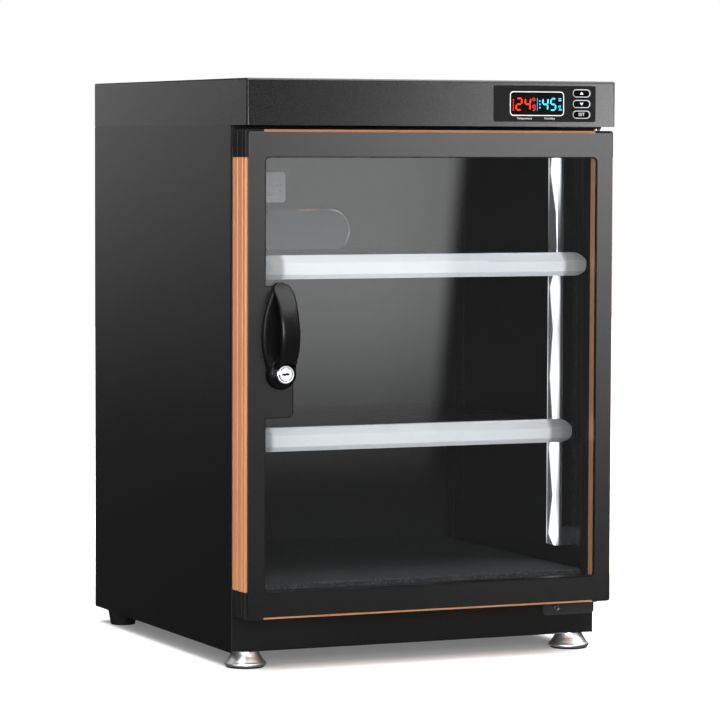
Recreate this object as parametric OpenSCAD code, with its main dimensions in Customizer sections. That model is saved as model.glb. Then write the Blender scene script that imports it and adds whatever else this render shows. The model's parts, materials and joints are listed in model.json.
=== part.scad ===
// Camera dry cabinet: a folded steel body with a glazed door hung on its right side,
// two shelves that slide on slotted uprights, a light bar, and a controller in the cap.
// X runs across the front, Y from the front to the rear, Z up. The floor is Z = 0.

/* [Cabinet body] */
// Overall width
cab_w = 400; // [360:1:600]
// Overall height from the floor to the top of the cap
cab_h = 578; // [560:1:1200]
// Depth from the front plane of the body to its rearmost screw head
body_d = 396; // [380:1:520]
// Thickness of the folded steel
sheet_t = 1.2; // [0.8:0.1:1.6]
// Outside radius of the folds
bend_r = 2.5; // [2:0.1:4]
// Width of the edge folded inwards at the front and rear of a side
fold_w = 12; // [11:0.5:14]
// Depth of the lip turned back from a folded edge
fold_lip = 6; // [4:0.5:8]
// Height of the plinth under the door
plinth_h = 36.5; // [34:0.5:80]
// Height of the header over the door opening
header_h = 20; // [18:0.5:24]
// Height of the feet
foot_h = 16; // [12:0.5:40]

/* [Top cap] */
// Height of the cap
cap_h = 45.5; // [42:0.5:80]
// How far the cap stands out in front of the body
cap_reach = 40; // [36:0.5:50]
// Width of the lip turned in round the underside of the cap
cap_lip = 8; // [4:0.5:11]

/* [Compartment] */
// Depth of the space behind the inner back panel
service_d = 43; // [35:1:60]
// Depth of the flanges that run forward from the inner back panel
liner_flange = 20; // [12:1:24]
// Height of the floor above the bottom edge of the door
floor_rise = 19.5; // [17:0.5:26]
// Thickness of the foam mat on the floor
mat_t = 10; // [4:0.5:12]
// Width of the lips that carry the floor plate
pan_lip = 25; // [15:1:28]

/* [Door] */
// Gap between the door frame and the body, which the seal fills
door_gap = 3.5; // [3:0.1:5]
// Gap between the door and the cap, which holds the top hinge leaf
door_drop = 4; // [3.5:0.1:6]
// Depth of the door frame
frame_d = 32; // [28:0.5:36]
// Width of the frame's front flange at the sides
flange_w = 20; // [18:0.5:24]
// Width of the frame's front flange at the top and bottom
rail_w = 27; // [24:0.5:32]
// Depth of the front flange, glass side to its rear face
flange_d = 10; // [6:0.5:12]
// Width of the frame behind its front flange
box_w = 14; // [13:0.5:15]
// Wall thickness of the aluminium profiles
profile_wall = 1.6; // [1.2:0.1:2.2]
// Depth of the grooves round the outside of the frame
groove_depth = 1.6; // [0.8:0.1:1.6]
// Radius of the outer corners of the door
door_corner_r = 3; // [1:0.5:4]
// Thickness of the glass
glass_t = 3.6; // [3:0.1:5]
// How far the glass stays inside the frame's outline
glass_inset = 2.2; // [1.5:0.1:4]
// Thickness of the seal's lining inside the frame
seal_t = 1.5; // [1:0.1:2]
// Width of the seal's bead
bead_w = 5; // [3:0.5:5]

/* [Hinges] */
// Distance of the hinge axis from the door's outer side
hinge_inset = 5; // [4.8:0.1:5.4]
// Distance of the hinge axis in front of the body
hinge_reach = 8; // [7:0.1:8.5]
// Radius of the hinge pins
pin_r = 2.5; // [2:0.1:2.5]
// Length of the pin inside the door
pin_bite = 10; // [6:0.5:16]
// Thickness of the hinge leaves
leaf_t = 2; // [1.5:0.1:2.4]
// Width of the plate that holds the lower hinge to the plinth
hinge_plate_w = 58; // [48:1:80]
// Height of that plate
hinge_plate_h = 14; // [12:0.5:20]

/* [Handle and lock] */
// Distance of the handle's centre line from the door's outer side
handle_inset = 36; // [34:0.5:40]
// Height of the handle's middle above the bottom edge of the door
handle_z = 276.5; // [200:0.5:300]
// Height of the handle
handle_h = 104; // [96:1:130]
// Width of the handle's base at its middle
handle_w = 40; // [34:0.5:44]
// Width of the handle's base at its ends
handle_end_w = 21.5; // [20:0.5:26]
// Thickness of the handle's base
handle_base_t = 3; // [2:0.5:4]
// How far the grip stands out from the glass
handle_reach = 28; // [24:0.5:40]
// Width of the grip
grip_w = 21; // [16:0.5:22]
// Thickness of the grip
grip_t = 6; // [5:0.5:8]
// Distance of the lock below the handle's middle
lock_drop = 37; // [34:0.5:40]
// Radius of the lock's head
lock_head_r = 9.4; // [8.6:0.1:10]
// How far the lock's head stands out from the glass
lock_reach = 13; // [11:0.5:16]
// Radius of the lock's threaded body
lock_body_r = 8; // [7.4:0.1:8.2]
// Radius of the plug that the key turns
plug_r = 6.4; // [5.4:0.1:6.6]
// Length of the cam from the lock's axis
cam_len = 16; // [15:0.5:17]
// Width of the cam
cam_w = 9; // [7:0.5:11]
// Thickness of the cam
cam_t = 1.5; // [1:0.1:1.8]

/* [Shelves] */
// Distance of a shelf's end from the outside of the cabinet
shelf_side = 22; // [21.5:0.1:24]
// Depth of a shelf with its front rail
shelf_d = 310; // [290:1:316]
// Height of the front rail
trim_h = 23.5; // [22:0.5:26]
// Depth of the front rail
trim_d = 14; // [12:0.5:18]
// Height of the upper shelf's rail above the floor
upper_shelf_z = 406; // [395:1:420]
// Height of the lower shelf's rail above the floor
lower_shelf_z = 235; // [225:1:250]
// How far the upper shelf stands out in front of the body
upper_shelf_reach = 22; // [16:1:24]
// How far the lower shelf lies behind the front of the body
lower_shelf_set = 7; // [2:1:12]
// Height of the tray under its deck
tray_h = 14; // [12:0.5:16]
// Thickness of the tray and of the runners
tray_t = 1; // [0.8:0.1:1.2]
// Distance of a front upright behind the front of the body
upright_y = 34; // [32:1:36]
// Width of an upright
upright_w = 12; // [10:0.5:12]
// Thickness of an upright
upright_t = 2; // [1.5:0.1:3]
// Height of the uprights' lower ends above the floor plate
upright_rise = 51; // [40:1:60]
// Distance between the slots of an upright
slot_pitch = 15; // [12:1:25]

/* [Light bar] */
// Width of the light bar
light_w = 22; // [16:0.5:22]
// Thickness of the light bar
light_t = 6.5; // [5:0.5:7]
// Distance of the light bar's bright face from the outside of the cabinet
light_face = 19; // [18.5:0.1:19.5]
// Distance of the light bar behind the front of the body
light_y = 47.5; // [46.5:0.5:49]
// Height of the light bar's lower end above the floor plate
light_rise = 29; // [20:1:60]

/* [Dryer and sensor] */
// Length of the dryer's cover
dryer_w = 108; // [90:1:180]
// Height of the dryer's cover
dryer_h = 48; // [36:1:56]
// Depth of the dryer's cover
dryer_d = 14; // [10:0.5:16]
// Distance of the dryer's middle from the cabinet's middle
dryer_x = 21; // [0:1:60]
// Distance of the dryer's middle below the cap
dryer_drop = 112.5; // [105:0.5:130]
// Width of the bright ring round the dryer's cover
ring_w = 2.2; // [1.5:0.1:3]
// Width of the sensor's cover
sensor_w = 46; // [30:1:60]
// Height of the sensor's cover
sensor_h = 33; // [24:1:40]
// Depth of the sensor's cover
sensor_d = 6; // [4:0.5:10]
// Distance of the sensor's right edge from the cabinet's middle
sensor_x = 1.5; // [-60:0.5:8]

/* [Control panel] */
// Height of the panel
panel_h = 36; // [34:0.5:38]
// Distance of the panel from the cap's right side
panel_inset = 23; // [10:0.5:60]
// Width of the display window
window_w = 60.5; // [50:0.5:62]
// Height of the display window
window_h = 24.5; // [20:0.5:27]
// Length of a button
button_w = 20.3; // [16:0.1:22]
// Height of a button
button_h = 8.5; // [7:0.1:9]
// Distance of the window from the panel's left end
window_inset = 17; // [8:0.5:20]
// Distance between the window and the buttons
window_gap = 8.9; // [6:0.1:14]
// Distance of the buttons from the panel's right end
button_inset = 6.3; // [5:0.1:10]
// Distance between buttons
button_pitch = 10.6; // [10:0.1:11]
// Travel of a button
button_travel = 0.8; // [0.5:0.1:1.2]

/* [Feet] */
// Radius of a front foot at its rim
front_foot_r = 20.8; // [16:0.1:22]
// Radius of a front foot at its top
front_foot_top_r = 13.2; // [8:0.1:15]
// Radius of a rear foot at its top
rear_foot_r = 16; // [12:0.1:20]
// Radius of a rear foot at the floor
rear_foot_low_r = 12.9; // [10:0.1:16]

/* [Hidden] */
$fn = 48;

// One overrun for every cut, and the clearances of what moves or fits
over = 1;
run_gap = 0.05;
fit_gap = 0.1;
rest_gap = 0.3;

// Screws: a pan head and its shank
screw_head_r = 3.8;
screw_head_h = 2;
screw_r = 1.9;
screw_len = 7;
screw_cross_w = 1;

// Body. Y = 0 is its front plane while the pieces are drawn.
half_w = cab_w / 2;
side_d = body_d - sheet_t - screw_head_h;
wall_x = half_w - sheet_t;
cap_z = cab_h - cap_h;
door_z = foot_h + plinth_h;
floor_z = door_z + floor_rise;
header_z = cap_z - header_h;
ceiling_z = cap_z - sheet_t;
liner_y = side_d - service_d;
back_edge = 0.8;
screw_inset = 6;
screw_rows = 4;
screw_rise = 20;

// Rear vents and power inlet
vent_w = 42;
vent_h = 4;
vent_pitch = 9;
vent_rows = 7;
vent_x = 52;
vent_drop = 90;
inlet_r = 6;
inlet_flange_r = 8.5;
inlet_flange_t = 1.5;
inlet_len = 14;
inlet_bore_r = 3.2;
inlet_pin_r = 1.1;
inlet_inset = 60;
inlet_rise = 22;

// Door
frame_y = -door_gap - frame_d;
glass_y = frame_y - glass_t;
door_top = cap_z - door_drop;
door_h = door_top - door_z;
leg_z = rail_w;
groove_shares = [[0.36, 0.45], [0.76, 0.84]];
glass_r = 2;
bead_inset = 6.6;
bead_h = door_gap - rest_gap;
web_t = 0.6;
tenon_len = 18;

// The whole: the origin is under the middle of the box from the grip to the rear screws
front_reach = handle_reach - glass_y;
total_d = front_reach + body_d;
front_y = front_reach - total_d / 2;

// Hinges
pin_x = half_w - hinge_inset;
pin_y = -hinge_reach;
leaf_r = hinge_inset;
leaf_gap = 0.5;
collar_r = 4;
leaf_z = door_z - leaf_gap - leaf_t;
upper_leaf_len = 46;
pin_head_r = 4.4;
pin_head_h = 1.6;
plate_screw_inset = 16;
hinge_plate_x = half_w - leaf_gap - hinge_plate_w;

// Handle and lock
handle_x = -half_w + handle_inset;
handle_mid_z = door_z + handle_z;
lock_z = handle_mid_z - lock_drop;
boss_r = 13;
boss_skirt_r = 15;
boss_h = 6;
counterbore_r = 11.6;
nut_r = 12;
nut_t = 5;
plug_proud = 0.4;
slot_w = 1.4;
slot_l = 7.5;
slot_depth = 9;
stub_r = 3;
stub_len = 4.2;
cam_nut_r = 5.2;
cam_nut_t = 2.4;
handle_screw_r = 2;
handle_screw_head_r = 5;
handle_screw_head_h = 2.6;
handle_screw_rise = 42;
handle_screw_bite = 5;
cam_set = 17;
cam_y = -cam_set - cam_t / 2;
keeper_t = 1.5;
keeper_h = 16;
keeper_gap = 1;
keeper_inset = 16.8;
keeper_reach = 9.4;
keeper_foot = 14;
keeper_back = 9;

// Shelves
shelf_half = half_w - shelf_side;
shelf_w = 2 * shelf_half;
rail_r = 11;
rail_shares = [[1, 0], [0.3, 0], [0, 0.2], [0, 0.68], [0.5, 1], [1, 1]];
label_depth = 1.4;
label_w = 87;
label_inset = 24;
deck_drop = 4;
tray_inset = 4;
tray_lip = 10;
tray_slot_w = 40;
tray_slot_h = 6;
tray_slot_cols = 5;
tray_slot_rows = 4;
rear_upright_y = liner_y - liner_flange - 2 * upright_w;
slot_h = 7;
slot_w_upright = 3.2;
upright_z = floor_z + upright_rise;
upright_h = ceiling_z - upright_z;
runner_gap = 5;
runner_x = wall_x - upright_t - runner_gap;
runner_h = 18;
runner_drop = 6;
ledge_w = 24;
hook_h = 5;

// Light bar
light_x = half_w - light_face;
light_z = floor_z + light_rise;
light_h = ceiling_z - light_z - rest_gap;
light_wall = 1.2;
diffuser_t = 2;
light_bracket_h = 19;
light_bracket_t = 1.5;
light_foot = 12;

// Dryer and sensor
dryer_z = cap_z - dryer_drop;
dryer_step = 3;
sensor_rise = 14;
sensor_slots = 4;

// Floor mat
mat_edge = 14;
mat_front = 0.6;

// Control panel
panel_r = 2;
panel_proud = 1;
panel_body_t = 4;
panel_step = 2;
panel_w = window_inset + window_w + window_gap + button_w + button_inset;
panel_x = half_w - panel_inset - panel_w / 2;
panel_z = cap_z + cap_h / 2;
window_x = panel_x - panel_w / 2 + window_inset + window_w / 2;
window_round = 4;
window_t = 1.5;
module_gap = 2;
module_t = 7;
button_x = panel_x + panel_w / 2 - button_inset - button_w / 2;
button_proud = 1.2;
button_flange = 0.9;
button_flange_t = 1;
board_t = 1.6;
board_edge = 2.4;
post_r = 1.6;
post_spots = [panel_x - panel_w / 2 + panel_step + 2 * post_r, button_x - (button_w + window_gap) / 2];
switch_w = 6;
panel_face_y = -cap_reach - panel_proud;
panel_back_y = -cap_reach + panel_body_t;
board_y = panel_face_y + window_t + module_t;
flange_y = panel_back_y + fit_gap;
stem_len = 1.2;
stem_end_y = flange_y + button_flange_t + stem_len;
switch_y = stem_end_y + button_travel + fit_gap;

// Feet
foot_inset = 21;
foot_x = half_w - foot_inset;
front_foot_y = 14;
rear_foot_inset = 38;
rear_foot_y = side_d - rear_foot_inset;
rear_foot_side = 18;
pad_t = 1.5;
pad_inset = 2;
rim_r = 2;
rear_foot_x = half_w - rear_foot_side;

// Places a piece that is drawn from the body's front plane
module placed() translate([0, front_y, 0]) children();

// Turns an outline drawn in X and Z to stand upright, from y to y + t
module upright_plate(y, t) translate([0, y + t, 0]) rotate([90, 0, 0]) linear_extrude(t) children();

// A cylinder along Y, from y to y + len
module rod_y(x, y, z, r, len) translate([x, y, z]) rotate([-90, 0, 0]) cylinder(r = r, h = len);

module round_rect(w, h, r) {
    translate([r, 0]) square([w - 2 * r, h]);
    translate([0, r]) square([w, h - 2 * r]);
    for (x = [r, w - r], y = [r, h - r]) translate([x, y]) circle(r);
}

module stadium(w, h) {
    translate([-(w - h) / 2, -h / 2]) square([w - h, h]);
    for (s = [-1, 1]) translate([s * (w - h) / 2, 0]) circle(h / 2);
}

// Section of a folded channel: w across, d long, open on its far side between two lips
module channel_plan(w, d, lip, t, r) {
    difference() {
        round_rect(w, d, r);
        translate([t, t]) round_rect(w - 2 * t, d - 2 * t, r - t);
        translate([t, t + lip]) square([w, d - 2 * (t + lip)]);
    }
}

module pan_screw(x, y, z) {
    difference() {
        union() {
            rod_y(x, y, z, screw_head_r, screw_head_h);
            rod_y(x, y - screw_len, z, screw_r, screw_len + screw_head_h);
        }
        for (a = [0, 90])
            translate([x, y + screw_head_h, z]) rotate([0, a, 0])
                cube([screw_cross_w, screw_head_h, screw_head_r], center = true);
    }
}

function screw_z(i) = floor_z + screw_rise + i * (header_z - floor_z - 2 * screw_rise) / (screw_rows - 1);

module back_screw_spots()
    for (s = [-1, 1], i = [0 : screw_rows - 1])
        translate([s * (half_w - screw_inset), 0, screw_z(i)]) children();

// A side of the body: its folded edges stop at the floor plate and at the header
module side_panel(side) {
    fold_h = header_z - floor_z;
    difference() {
        translate([side * half_w, 0, 0]) mirror([side > 0 ? 1 : 0, 0, 0])
            union() {
                translate([0, 0, floor_z]) linear_extrude(fold_h)
                    channel_plan(fold_w, side_d, fold_lip, sheet_t, bend_r);
                translate([0, 0, foot_h]) linear_extrude(cap_z - foot_h)
                    intersection() {
                        round_rect(fold_w, side_d, bend_r);
                        square([sheet_t, side_d]);
                    }
            }
        back_screw_spots() rod_y(0, side_d - sheet_t - over, 0, screw_r + fit_gap, sheet_t + 2 * over);
    }
}

module left_side_panel() color("#26272a") placed() side_panel(-1);

module right_side_panel() color("#26272a") placed() side_panel(1);

// A folded pan laid across the body, from z to z + h, open on the side away from its web
module cross_pan(z, h, up) {
    translate([-wall_x, 0, up ? z : z + h]) mirror([0, 0, up ? 0 : 1])
        rotate([90, 0, 90]) linear_extrude(2 * wall_x)
            rotate(90) mirror([0, 1]) channel_plan(h, side_d, pan_lip, sheet_t, bend_r);
}

module base_pan() color("#202124") placed() difference() {
    cross_pan(foot_h, floor_z - sheet_t - foot_h, true);
    hinge_plate_screw_spots() rod_y(0, -over, 0, screw_r + fit_gap, sheet_t + 2 * over);
}

module floor_plate() color("#1c1d1f") placed()
    translate([-wall_x, 0, floor_z - sheet_t]) cube([2 * wall_x, liner_y, sheet_t]);

module header_panel() color("#1c1d1f") placed() cross_pan(header_z, header_h, false);

module inner_back_panel() color("#1c1d1f") placed() difference() {
    translate([0, 0, floor_z]) linear_extrude(ceiling_z - floor_z) difference() {
        translate([-wall_x, liner_y - liner_flange]) square([2 * wall_x, liner_flange + sheet_t]);
        translate([-wall_x + sheet_t, liner_y - liner_flange - over])
            square([2 * (wall_x - sheet_t), liner_flange + over]);
    }
    duct_w = dryer_w - dryer_h;
    duct_h = dryer_h / 2;
    translate([dryer_x - duct_w / 2, liner_y - over, dryer_z - duct_h / 2])
        cube([duct_w, sheet_t + 2 * over, duct_h]);
}

module back_panel() color("#26272a") placed() difference() {
    translate([-half_w + back_edge, side_d, foot_h + back_edge])
        cube([cab_w - 2 * back_edge, sheet_t, cap_z - foot_h - 2 * back_edge]);
    back_screw_spots() rod_y(0, side_d - over, 0, screw_r + fit_gap, sheet_t + 2 * over);
    rod_y(-half_w + inlet_inset, side_d - over, floor_z + inlet_rise, inlet_r + fit_gap, sheet_t + 2 * over);
    for (s = [-1, 1], i = [0 : vent_rows - 1])
        translate([s * vent_x, 0, cap_z - vent_drop - i * vent_pitch])
            upright_plate(side_d - over, sheet_t + 2 * over) stadium(vent_w, vent_h);
}

module back_screws() color("silver") placed()
    back_screw_spots() pan_screw(0, side_d + sheet_t, 0);

module power_inlet() color("#141414") placed() {
    inlet_y = side_d + sheet_t - inlet_len;
    difference() {
        union() {
            rod_y(-half_w + inlet_inset, inlet_y, floor_z + inlet_rise, inlet_r, inlet_len);
            rod_y(-half_w + inlet_inset, side_d + sheet_t, floor_z + inlet_rise,
                inlet_flange_r, inlet_flange_t);
        }
        rod_y(-half_w + inlet_inset, inlet_y + 2 * inlet_flange_t, floor_z + inlet_rise,
            inlet_bore_r, inlet_len);
    }
    rod_y(-half_w + inlet_inset, inlet_y + inlet_flange_t, floor_z + inlet_rise,
        inlet_pin_r, inlet_len - 2 * inlet_flange_t);
}

// The cap: folded from one sheet, with the overhang closed underneath
module cap_block(w, d, h, r) {
    intersection() {
        linear_extrude(h) round_rect(w, d, r);
        translate([0, d, 0]) rotate([90, 0, 0]) linear_extrude(d)
            intersection() {
                translate([0, -r]) round_rect(w, h + r, r);
                square([w, h]);
            }
        rotate([90, 0, 90]) linear_extrude(w)
            intersection() {
                translate([0, -r]) round_rect(d, h + r, r);
                square([d, h]);
            }
    }
}

module top_cap() color("#2b2c30") placed() {
    cap_d = cap_reach + side_d + sheet_t;
    difference() {
        translate([-half_w, -cap_reach, cap_z]) cap_block(cab_w, cap_d, cap_h, bend_r);
        translate([-half_w + sheet_t, -cap_reach + sheet_t, cap_z + sheet_t])
            cap_block(cab_w - 2 * sheet_t, cap_d - 2 * sheet_t, cap_h - 2 * sheet_t, bend_r - sheet_t);
        translate([-half_w + cap_lip, cap_lip, cap_z - over])
            cube([cab_w - 2 * cap_lip, side_d - 2 * cap_lip, sheet_t + 2 * over]);
        cut_w = panel_w - 2 * (panel_step - fit_gap);
        cut_h = panel_h - 2 * (panel_step - fit_gap);
        translate([panel_x - cut_w / 2, 0, panel_z - cut_h / 2])
            upright_plate(-cap_reach - over, sheet_t + 2 * over) round_rect(cut_w, cut_h, panel_r);
    }
}

module button_spots()
    for (i = [-1 : 1]) translate([button_x, 0, panel_z + i * button_pitch]) children();

module control_bezel() color("#101113") placed() {
    difference() {
        union() {
            translate([panel_x - panel_w / 2, 0, panel_z - panel_h / 2])
                upright_plate(panel_face_y, panel_proud) round_rect(panel_w, panel_h, panel_r);
            translate([panel_x - panel_w / 2 + panel_step, 0, panel_z - panel_h / 2 + panel_step])
                upright_plate(-cap_reach, panel_body_t)
                    round_rect(panel_w - 2 * panel_step, panel_h - 2 * panel_step, panel_r);
        }
        translate([window_x - window_w / 2, 0, panel_z - window_h / 2])
            upright_plate(panel_face_y - over, panel_proud + panel_body_t + 2 * over)
                round_rect(window_w, window_h, window_round);
        button_spots() upright_plate(panel_face_y - over, panel_proud + panel_body_t + 2 * over)
            stadium(button_w, button_h);
    }
    for (x = post_spots, s = [-1, 1])
        rod_y(x, panel_back_y, panel_z + s * (panel_h / 2 - panel_step - 1.5 * post_r), post_r,
            board_y - panel_back_y);
}

module display_window() color("#07080a") placed()
    translate([window_x - window_w / 2 + fit_gap, 0, panel_z - window_h / 2 + fit_gap])
        upright_plate(panel_face_y, window_t)
            round_rect(window_w - 2 * fit_gap, window_h - 2 * fit_gap, window_round - fit_gap);

module display_module() color("#0c0c0e") placed()
    translate([window_x, panel_face_y + window_t + module_t / 2, panel_z])
        cube([window_w - 2 * module_gap, module_t, window_h - 2 * module_gap], center = true);

module control_board() color("#1d5b38") placed() {
    translate([panel_x - panel_w / 2 + board_edge, board_y, panel_z - panel_h / 2 + board_edge])
        cube([panel_w - 2 * board_edge, board_t, panel_h - 2 * board_edge]);
    button_spots() translate([-switch_w / 2, switch_y, -switch_w / 2])
        cube([switch_w, board_y - switch_y, switch_w]);
}

// A button: an oval cap, a flange behind the panel, and a stem that ends over its switch
module panel_button(i) {
    translate([button_x, 0, panel_z + i * button_pitch]) {
        upright_plate(panel_face_y - button_proud, flange_y - panel_face_y + button_proud)
            stadium(button_w - 2 * fit_gap, button_h - 2 * fit_gap);
        upright_plate(flange_y, button_flange_t)
            stadium(button_w + 2 * button_flange, button_h + 2 * button_flange);
        rod_y(0, flange_y, 0, switch_w / 4, button_flange_t + stem_len);
    }
}

module up_button() color("#17181a") placed() panel_button(1);

module down_button() color("#17181a") placed() panel_button(0);

module set_button() color("#17181a") placed() panel_button(-1);

module front_feet() color("silver") placed()
    for (s = [-1, 1]) translate([s * foot_x, front_foot_y, pad_t]) {
        cylinder(r = front_foot_r - rim_r, h = 2 * rim_r);
        translate([0, 0, rim_r]) rotate_extrude() intersection() {
            translate([front_foot_r - rim_r, 0]) circle(rim_r);
            translate([0, -rim_r]) square([front_foot_r, 2 * rim_r]);
        }
        translate([0, 0, 2 * rim_r])
            cylinder(r1 = front_foot_r - rim_r, r2 = front_foot_top_r, h = foot_h - pad_t - 2 * rim_r);
    }

module front_foot_pads() color("#101010") placed()
    for (s = [-1, 1]) translate([s * foot_x, front_foot_y, 0])
        cylinder(r = front_foot_r - pad_inset, h = pad_t);

module rear_feet() color("#121212") placed()
    for (s = [-1, 1]) translate([s * rear_foot_x, rear_foot_y, 0])
        cylinder(r1 = rear_foot_low_r, r2 = rear_foot_r, h = foot_h);

// A hinge leaf: a strip whose rounded end carries the pin
module leaf_plan(len) {
    difference() {
        union() {
            translate([pin_x, pin_y]) circle(leaf_r);
            translate([pin_x - len, pin_y - leaf_r]) square([len, 2 * leaf_r]);
        }
        translate([pin_x, pin_y]) circle(pin_r + run_gap);
    }
}

module upper_hinge_leaf() color("#2a2b2d") placed()
    translate([0, 0, cap_z - leaf_t]) linear_extrude(leaf_t) leaf_plan(upper_leaf_len);

module hinge_plate_screw_spots()
    translate([hinge_plate_x + plate_screw_inset, 0, leaf_z - hinge_plate_h / 2]) children();

module lower_hinge_bracket() color("#2a2b2d") placed() difference() {
    union() {
        translate([0, 0, leaf_z]) linear_extrude(leaf_t) {
            leaf_plan(2 * leaf_r);
            difference() {
                translate([pin_x - 2 * leaf_r, pin_y]) square([3 * leaf_r - leaf_gap, -pin_y]);
                translate([pin_x, pin_y]) circle(pin_r + run_gap);
            }
        }
        translate([hinge_plate_x, 0, leaf_z - hinge_plate_h]) upright_plate(-leaf_t, leaf_t)
            intersection() {
                round_rect(hinge_plate_w, 2 * hinge_plate_h, 2 * leaf_t);
                square([hinge_plate_w, hinge_plate_h + leaf_t]);
            }
    }
    hinge_plate_screw_spots() rod_y(0, -leaf_t - over, 0, screw_r + fit_gap, leaf_t + 2 * over);
}

// Pins: a shank through the leaf into the door, a head outside and a collar between
module hinge_pin() {
    cylinder(r = pin_r, h = leaf_t + leaf_gap + pin_bite);
    translate([0, 0, -pin_head_h]) cylinder(r = pin_head_r, h = pin_head_h);
    translate([0, 0, leaf_t]) cylinder(r = collar_r, h = leaf_gap - run_gap);
}

module hinge_pins() color("silver") placed() {
    translate([pin_x, pin_y, leaf_z]) hinge_pin();
    translate([pin_x, pin_y, 0]) {
        translate([0, 0, door_top - pin_bite]) cylinder(r = pin_r, h = door_drop + pin_bite);
        translate([0, 0, door_top + run_gap]) cylinder(r = collar_r, h = door_drop - leaf_t - run_gap);
    }
}

module hinge_screws() color("#3a3b3d") placed()
    hinge_plate_screw_spots() mirror([0, 1, 0]) pan_screw(0, leaf_t, 0);

// The strip that the lock's cam turns behind: a foot on the side, a web and a hook
module lock_keeper() color("silver") placed() {
    keeper_x = -half_w + keeper_inset;
    hook_y = cam_y - cam_t / 2 - keeper_gap - keeper_t;
    translate([0, 0, lock_z - keeper_h / 2]) linear_extrude(keeper_h) {
        translate([-wall_x, keeper_back]) square([keeper_t, keeper_foot]);
        translate([-wall_x, keeper_back]) square([keeper_x + keeper_t + wall_x, keeper_t]);
        translate([keeper_x, hook_y]) square([keeper_t, keeper_back + keeper_t - hook_y]);
        translate([keeper_x, hook_y]) square([keeper_reach, keeper_t]);
    }
}

// Slotted uprights, two on each side
module shelf_uprights() color("#3a3c40") placed()
    for (s = [-1, 1], y = [upright_y, rear_upright_y])
        translate([s * wall_x, y, upright_z]) mirror([s > 0 ? 1 : 0, 0, 0])
            rotate([90, 0, 90]) linear_extrude(upright_t) difference() {
                square([upright_w, upright_h]);
                for (z = [slot_pitch : slot_pitch : upright_h - slot_pitch])
                    translate([(upright_w - slot_w_upright) / 2, z]) square([slot_w_upright, slot_h]);
            }

// A runner: a web hooked on two uprights, with ledges for the tray fore and aft of the light bar
module shelf_runner(s, rail_top) {
    tray_z = rail_top - deck_drop - tray_h;
    back_y = rear_upright_y + upright_w;
    ledge_y = light_y + light_w + 2 * upright_t;
    mirror([s < 0 ? 1 : 0, 0, 0]) {
        translate([runner_x - tray_t, upright_y, tray_z - rest_gap - runner_drop])
            cube([tray_t, back_y - upright_y, runner_h]);
        for (y = [[upright_y, light_y - upright_t], [ledge_y, back_y]])
            translate([runner_x - ledge_w, y[0], tray_z - rest_gap - tray_t])
                cube([ledge_w, y[1] - y[0], tray_t]);
        for (y = [upright_y, rear_upright_y], z = [0, runner_h - hook_h])
            translate([runner_x, y + (upright_w - slot_w_upright) / 2, tray_z - rest_gap - runner_drop + z])
                cube([wall_x - upright_t - runner_x, slot_w_upright, hook_h]);
    }
}

module shelf_runners() color("#3a3c40") placed()
    for (s = [-1, 1], z = [upper_shelf_z, lower_shelf_z]) shelf_runner(s, z);

// A shelf tray: a slotted deck with sides folded down and in
module shelf_tray(rail_top, front) {
    deck_z = rail_top - deck_drop;
    tray_w = shelf_w - 2 * tray_inset;
    tray_d = shelf_d - trim_d;
    difference() {
        translate([0, front + trim_d + tray_d, deck_z]) rotate([90, 0, 0]) linear_extrude(tray_d)
            difference() {
                translate([-tray_w / 2, -tray_h]) square([tray_w, tray_h]);
                translate([-tray_w / 2 + tray_t, -tray_h + tray_t])
                    square([tray_w - 2 * tray_t, tray_h - 2 * tray_t]);
                translate([-tray_w / 2 + tray_lip, -tray_h - over])
                    square([tray_w - 2 * tray_lip, 2 * tray_t + over]);
            }
        for (i = [0 : tray_slot_cols - 1], j = [0 : tray_slot_rows - 1])
            translate([(i - (tray_slot_cols - 1) / 2) * tray_w / tray_slot_cols,
                front + trim_d + (j + 1) * tray_d / (tray_slot_rows + 1), deck_z - tray_t - over])
                linear_extrude(tray_t + 2 * over) stadium(tray_slot_w, tray_slot_h);
    }
}

// The rail along a shelf's front edge: chamfered above and below, with round ends
module rail_section() polygon([for (p = rail_shares) [p[0] * trim_d, p[1] * trim_h]]);

// The recess for a label, sunk into the upper chamfer
module label_section() {
    low_z = rail_shares[3][1] * trim_h - label_depth;
    back_y = rail_shares[4][0] * trim_d;
    slope = (trim_h - label_depth - low_z) / back_y;
    polygon([
        [-over, low_z - over * slope],
        [back_y, trim_h - label_depth],
        [back_y, trim_h + over],
        [-over, trim_h + over]
    ]);
}

module shelf_rail(rail_top, front) {
    label_x = shelf_half - label_inset - label_w;
    translate([0, front, rail_top - trim_h]) difference() {
        intersection() {
            translate([-shelf_half, 0, 0]) rotate([90, 0, 90]) linear_extrude(shelf_w) rail_section();
            translate([-shelf_half, 0, 0]) upright_plate(0, trim_d) round_rect(shelf_w, trim_h, rail_r);
        }
        translate([label_x, 0, 0]) rotate([90, 0, 90]) linear_extrude(label_w) label_section();
    }
}

module upper_shelf_tray() color("#2b2c2e") placed() shelf_tray(upper_shelf_z, -upper_shelf_reach);

module upper_shelf_rail() color("#e4e6e8") placed() shelf_rail(upper_shelf_z, -upper_shelf_reach);

module lower_shelf_tray() color("#2b2c2e") placed() shelf_tray(lower_shelf_z, lower_shelf_set);

module lower_shelf_rail() color("#e4e6e8") placed() shelf_rail(lower_shelf_z, lower_shelf_set);

// The light bar: an open channel that faces the compartment, its diffuser and its brackets
module light_bar_housing() color("#9a9da1") placed()
    translate([light_x, light_y, light_z]) linear_extrude(light_h) difference() {
        square([light_t, light_w]);
        translate([-over, light_wall]) square([light_t - light_wall + over, light_w - 2 * light_wall]);
    }

module light_bar_diffuser() color("white") placed()
    translate([light_x, light_y + light_wall, light_z])
        cube([diffuser_t, light_w - 2 * light_wall, light_h]);

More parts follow.
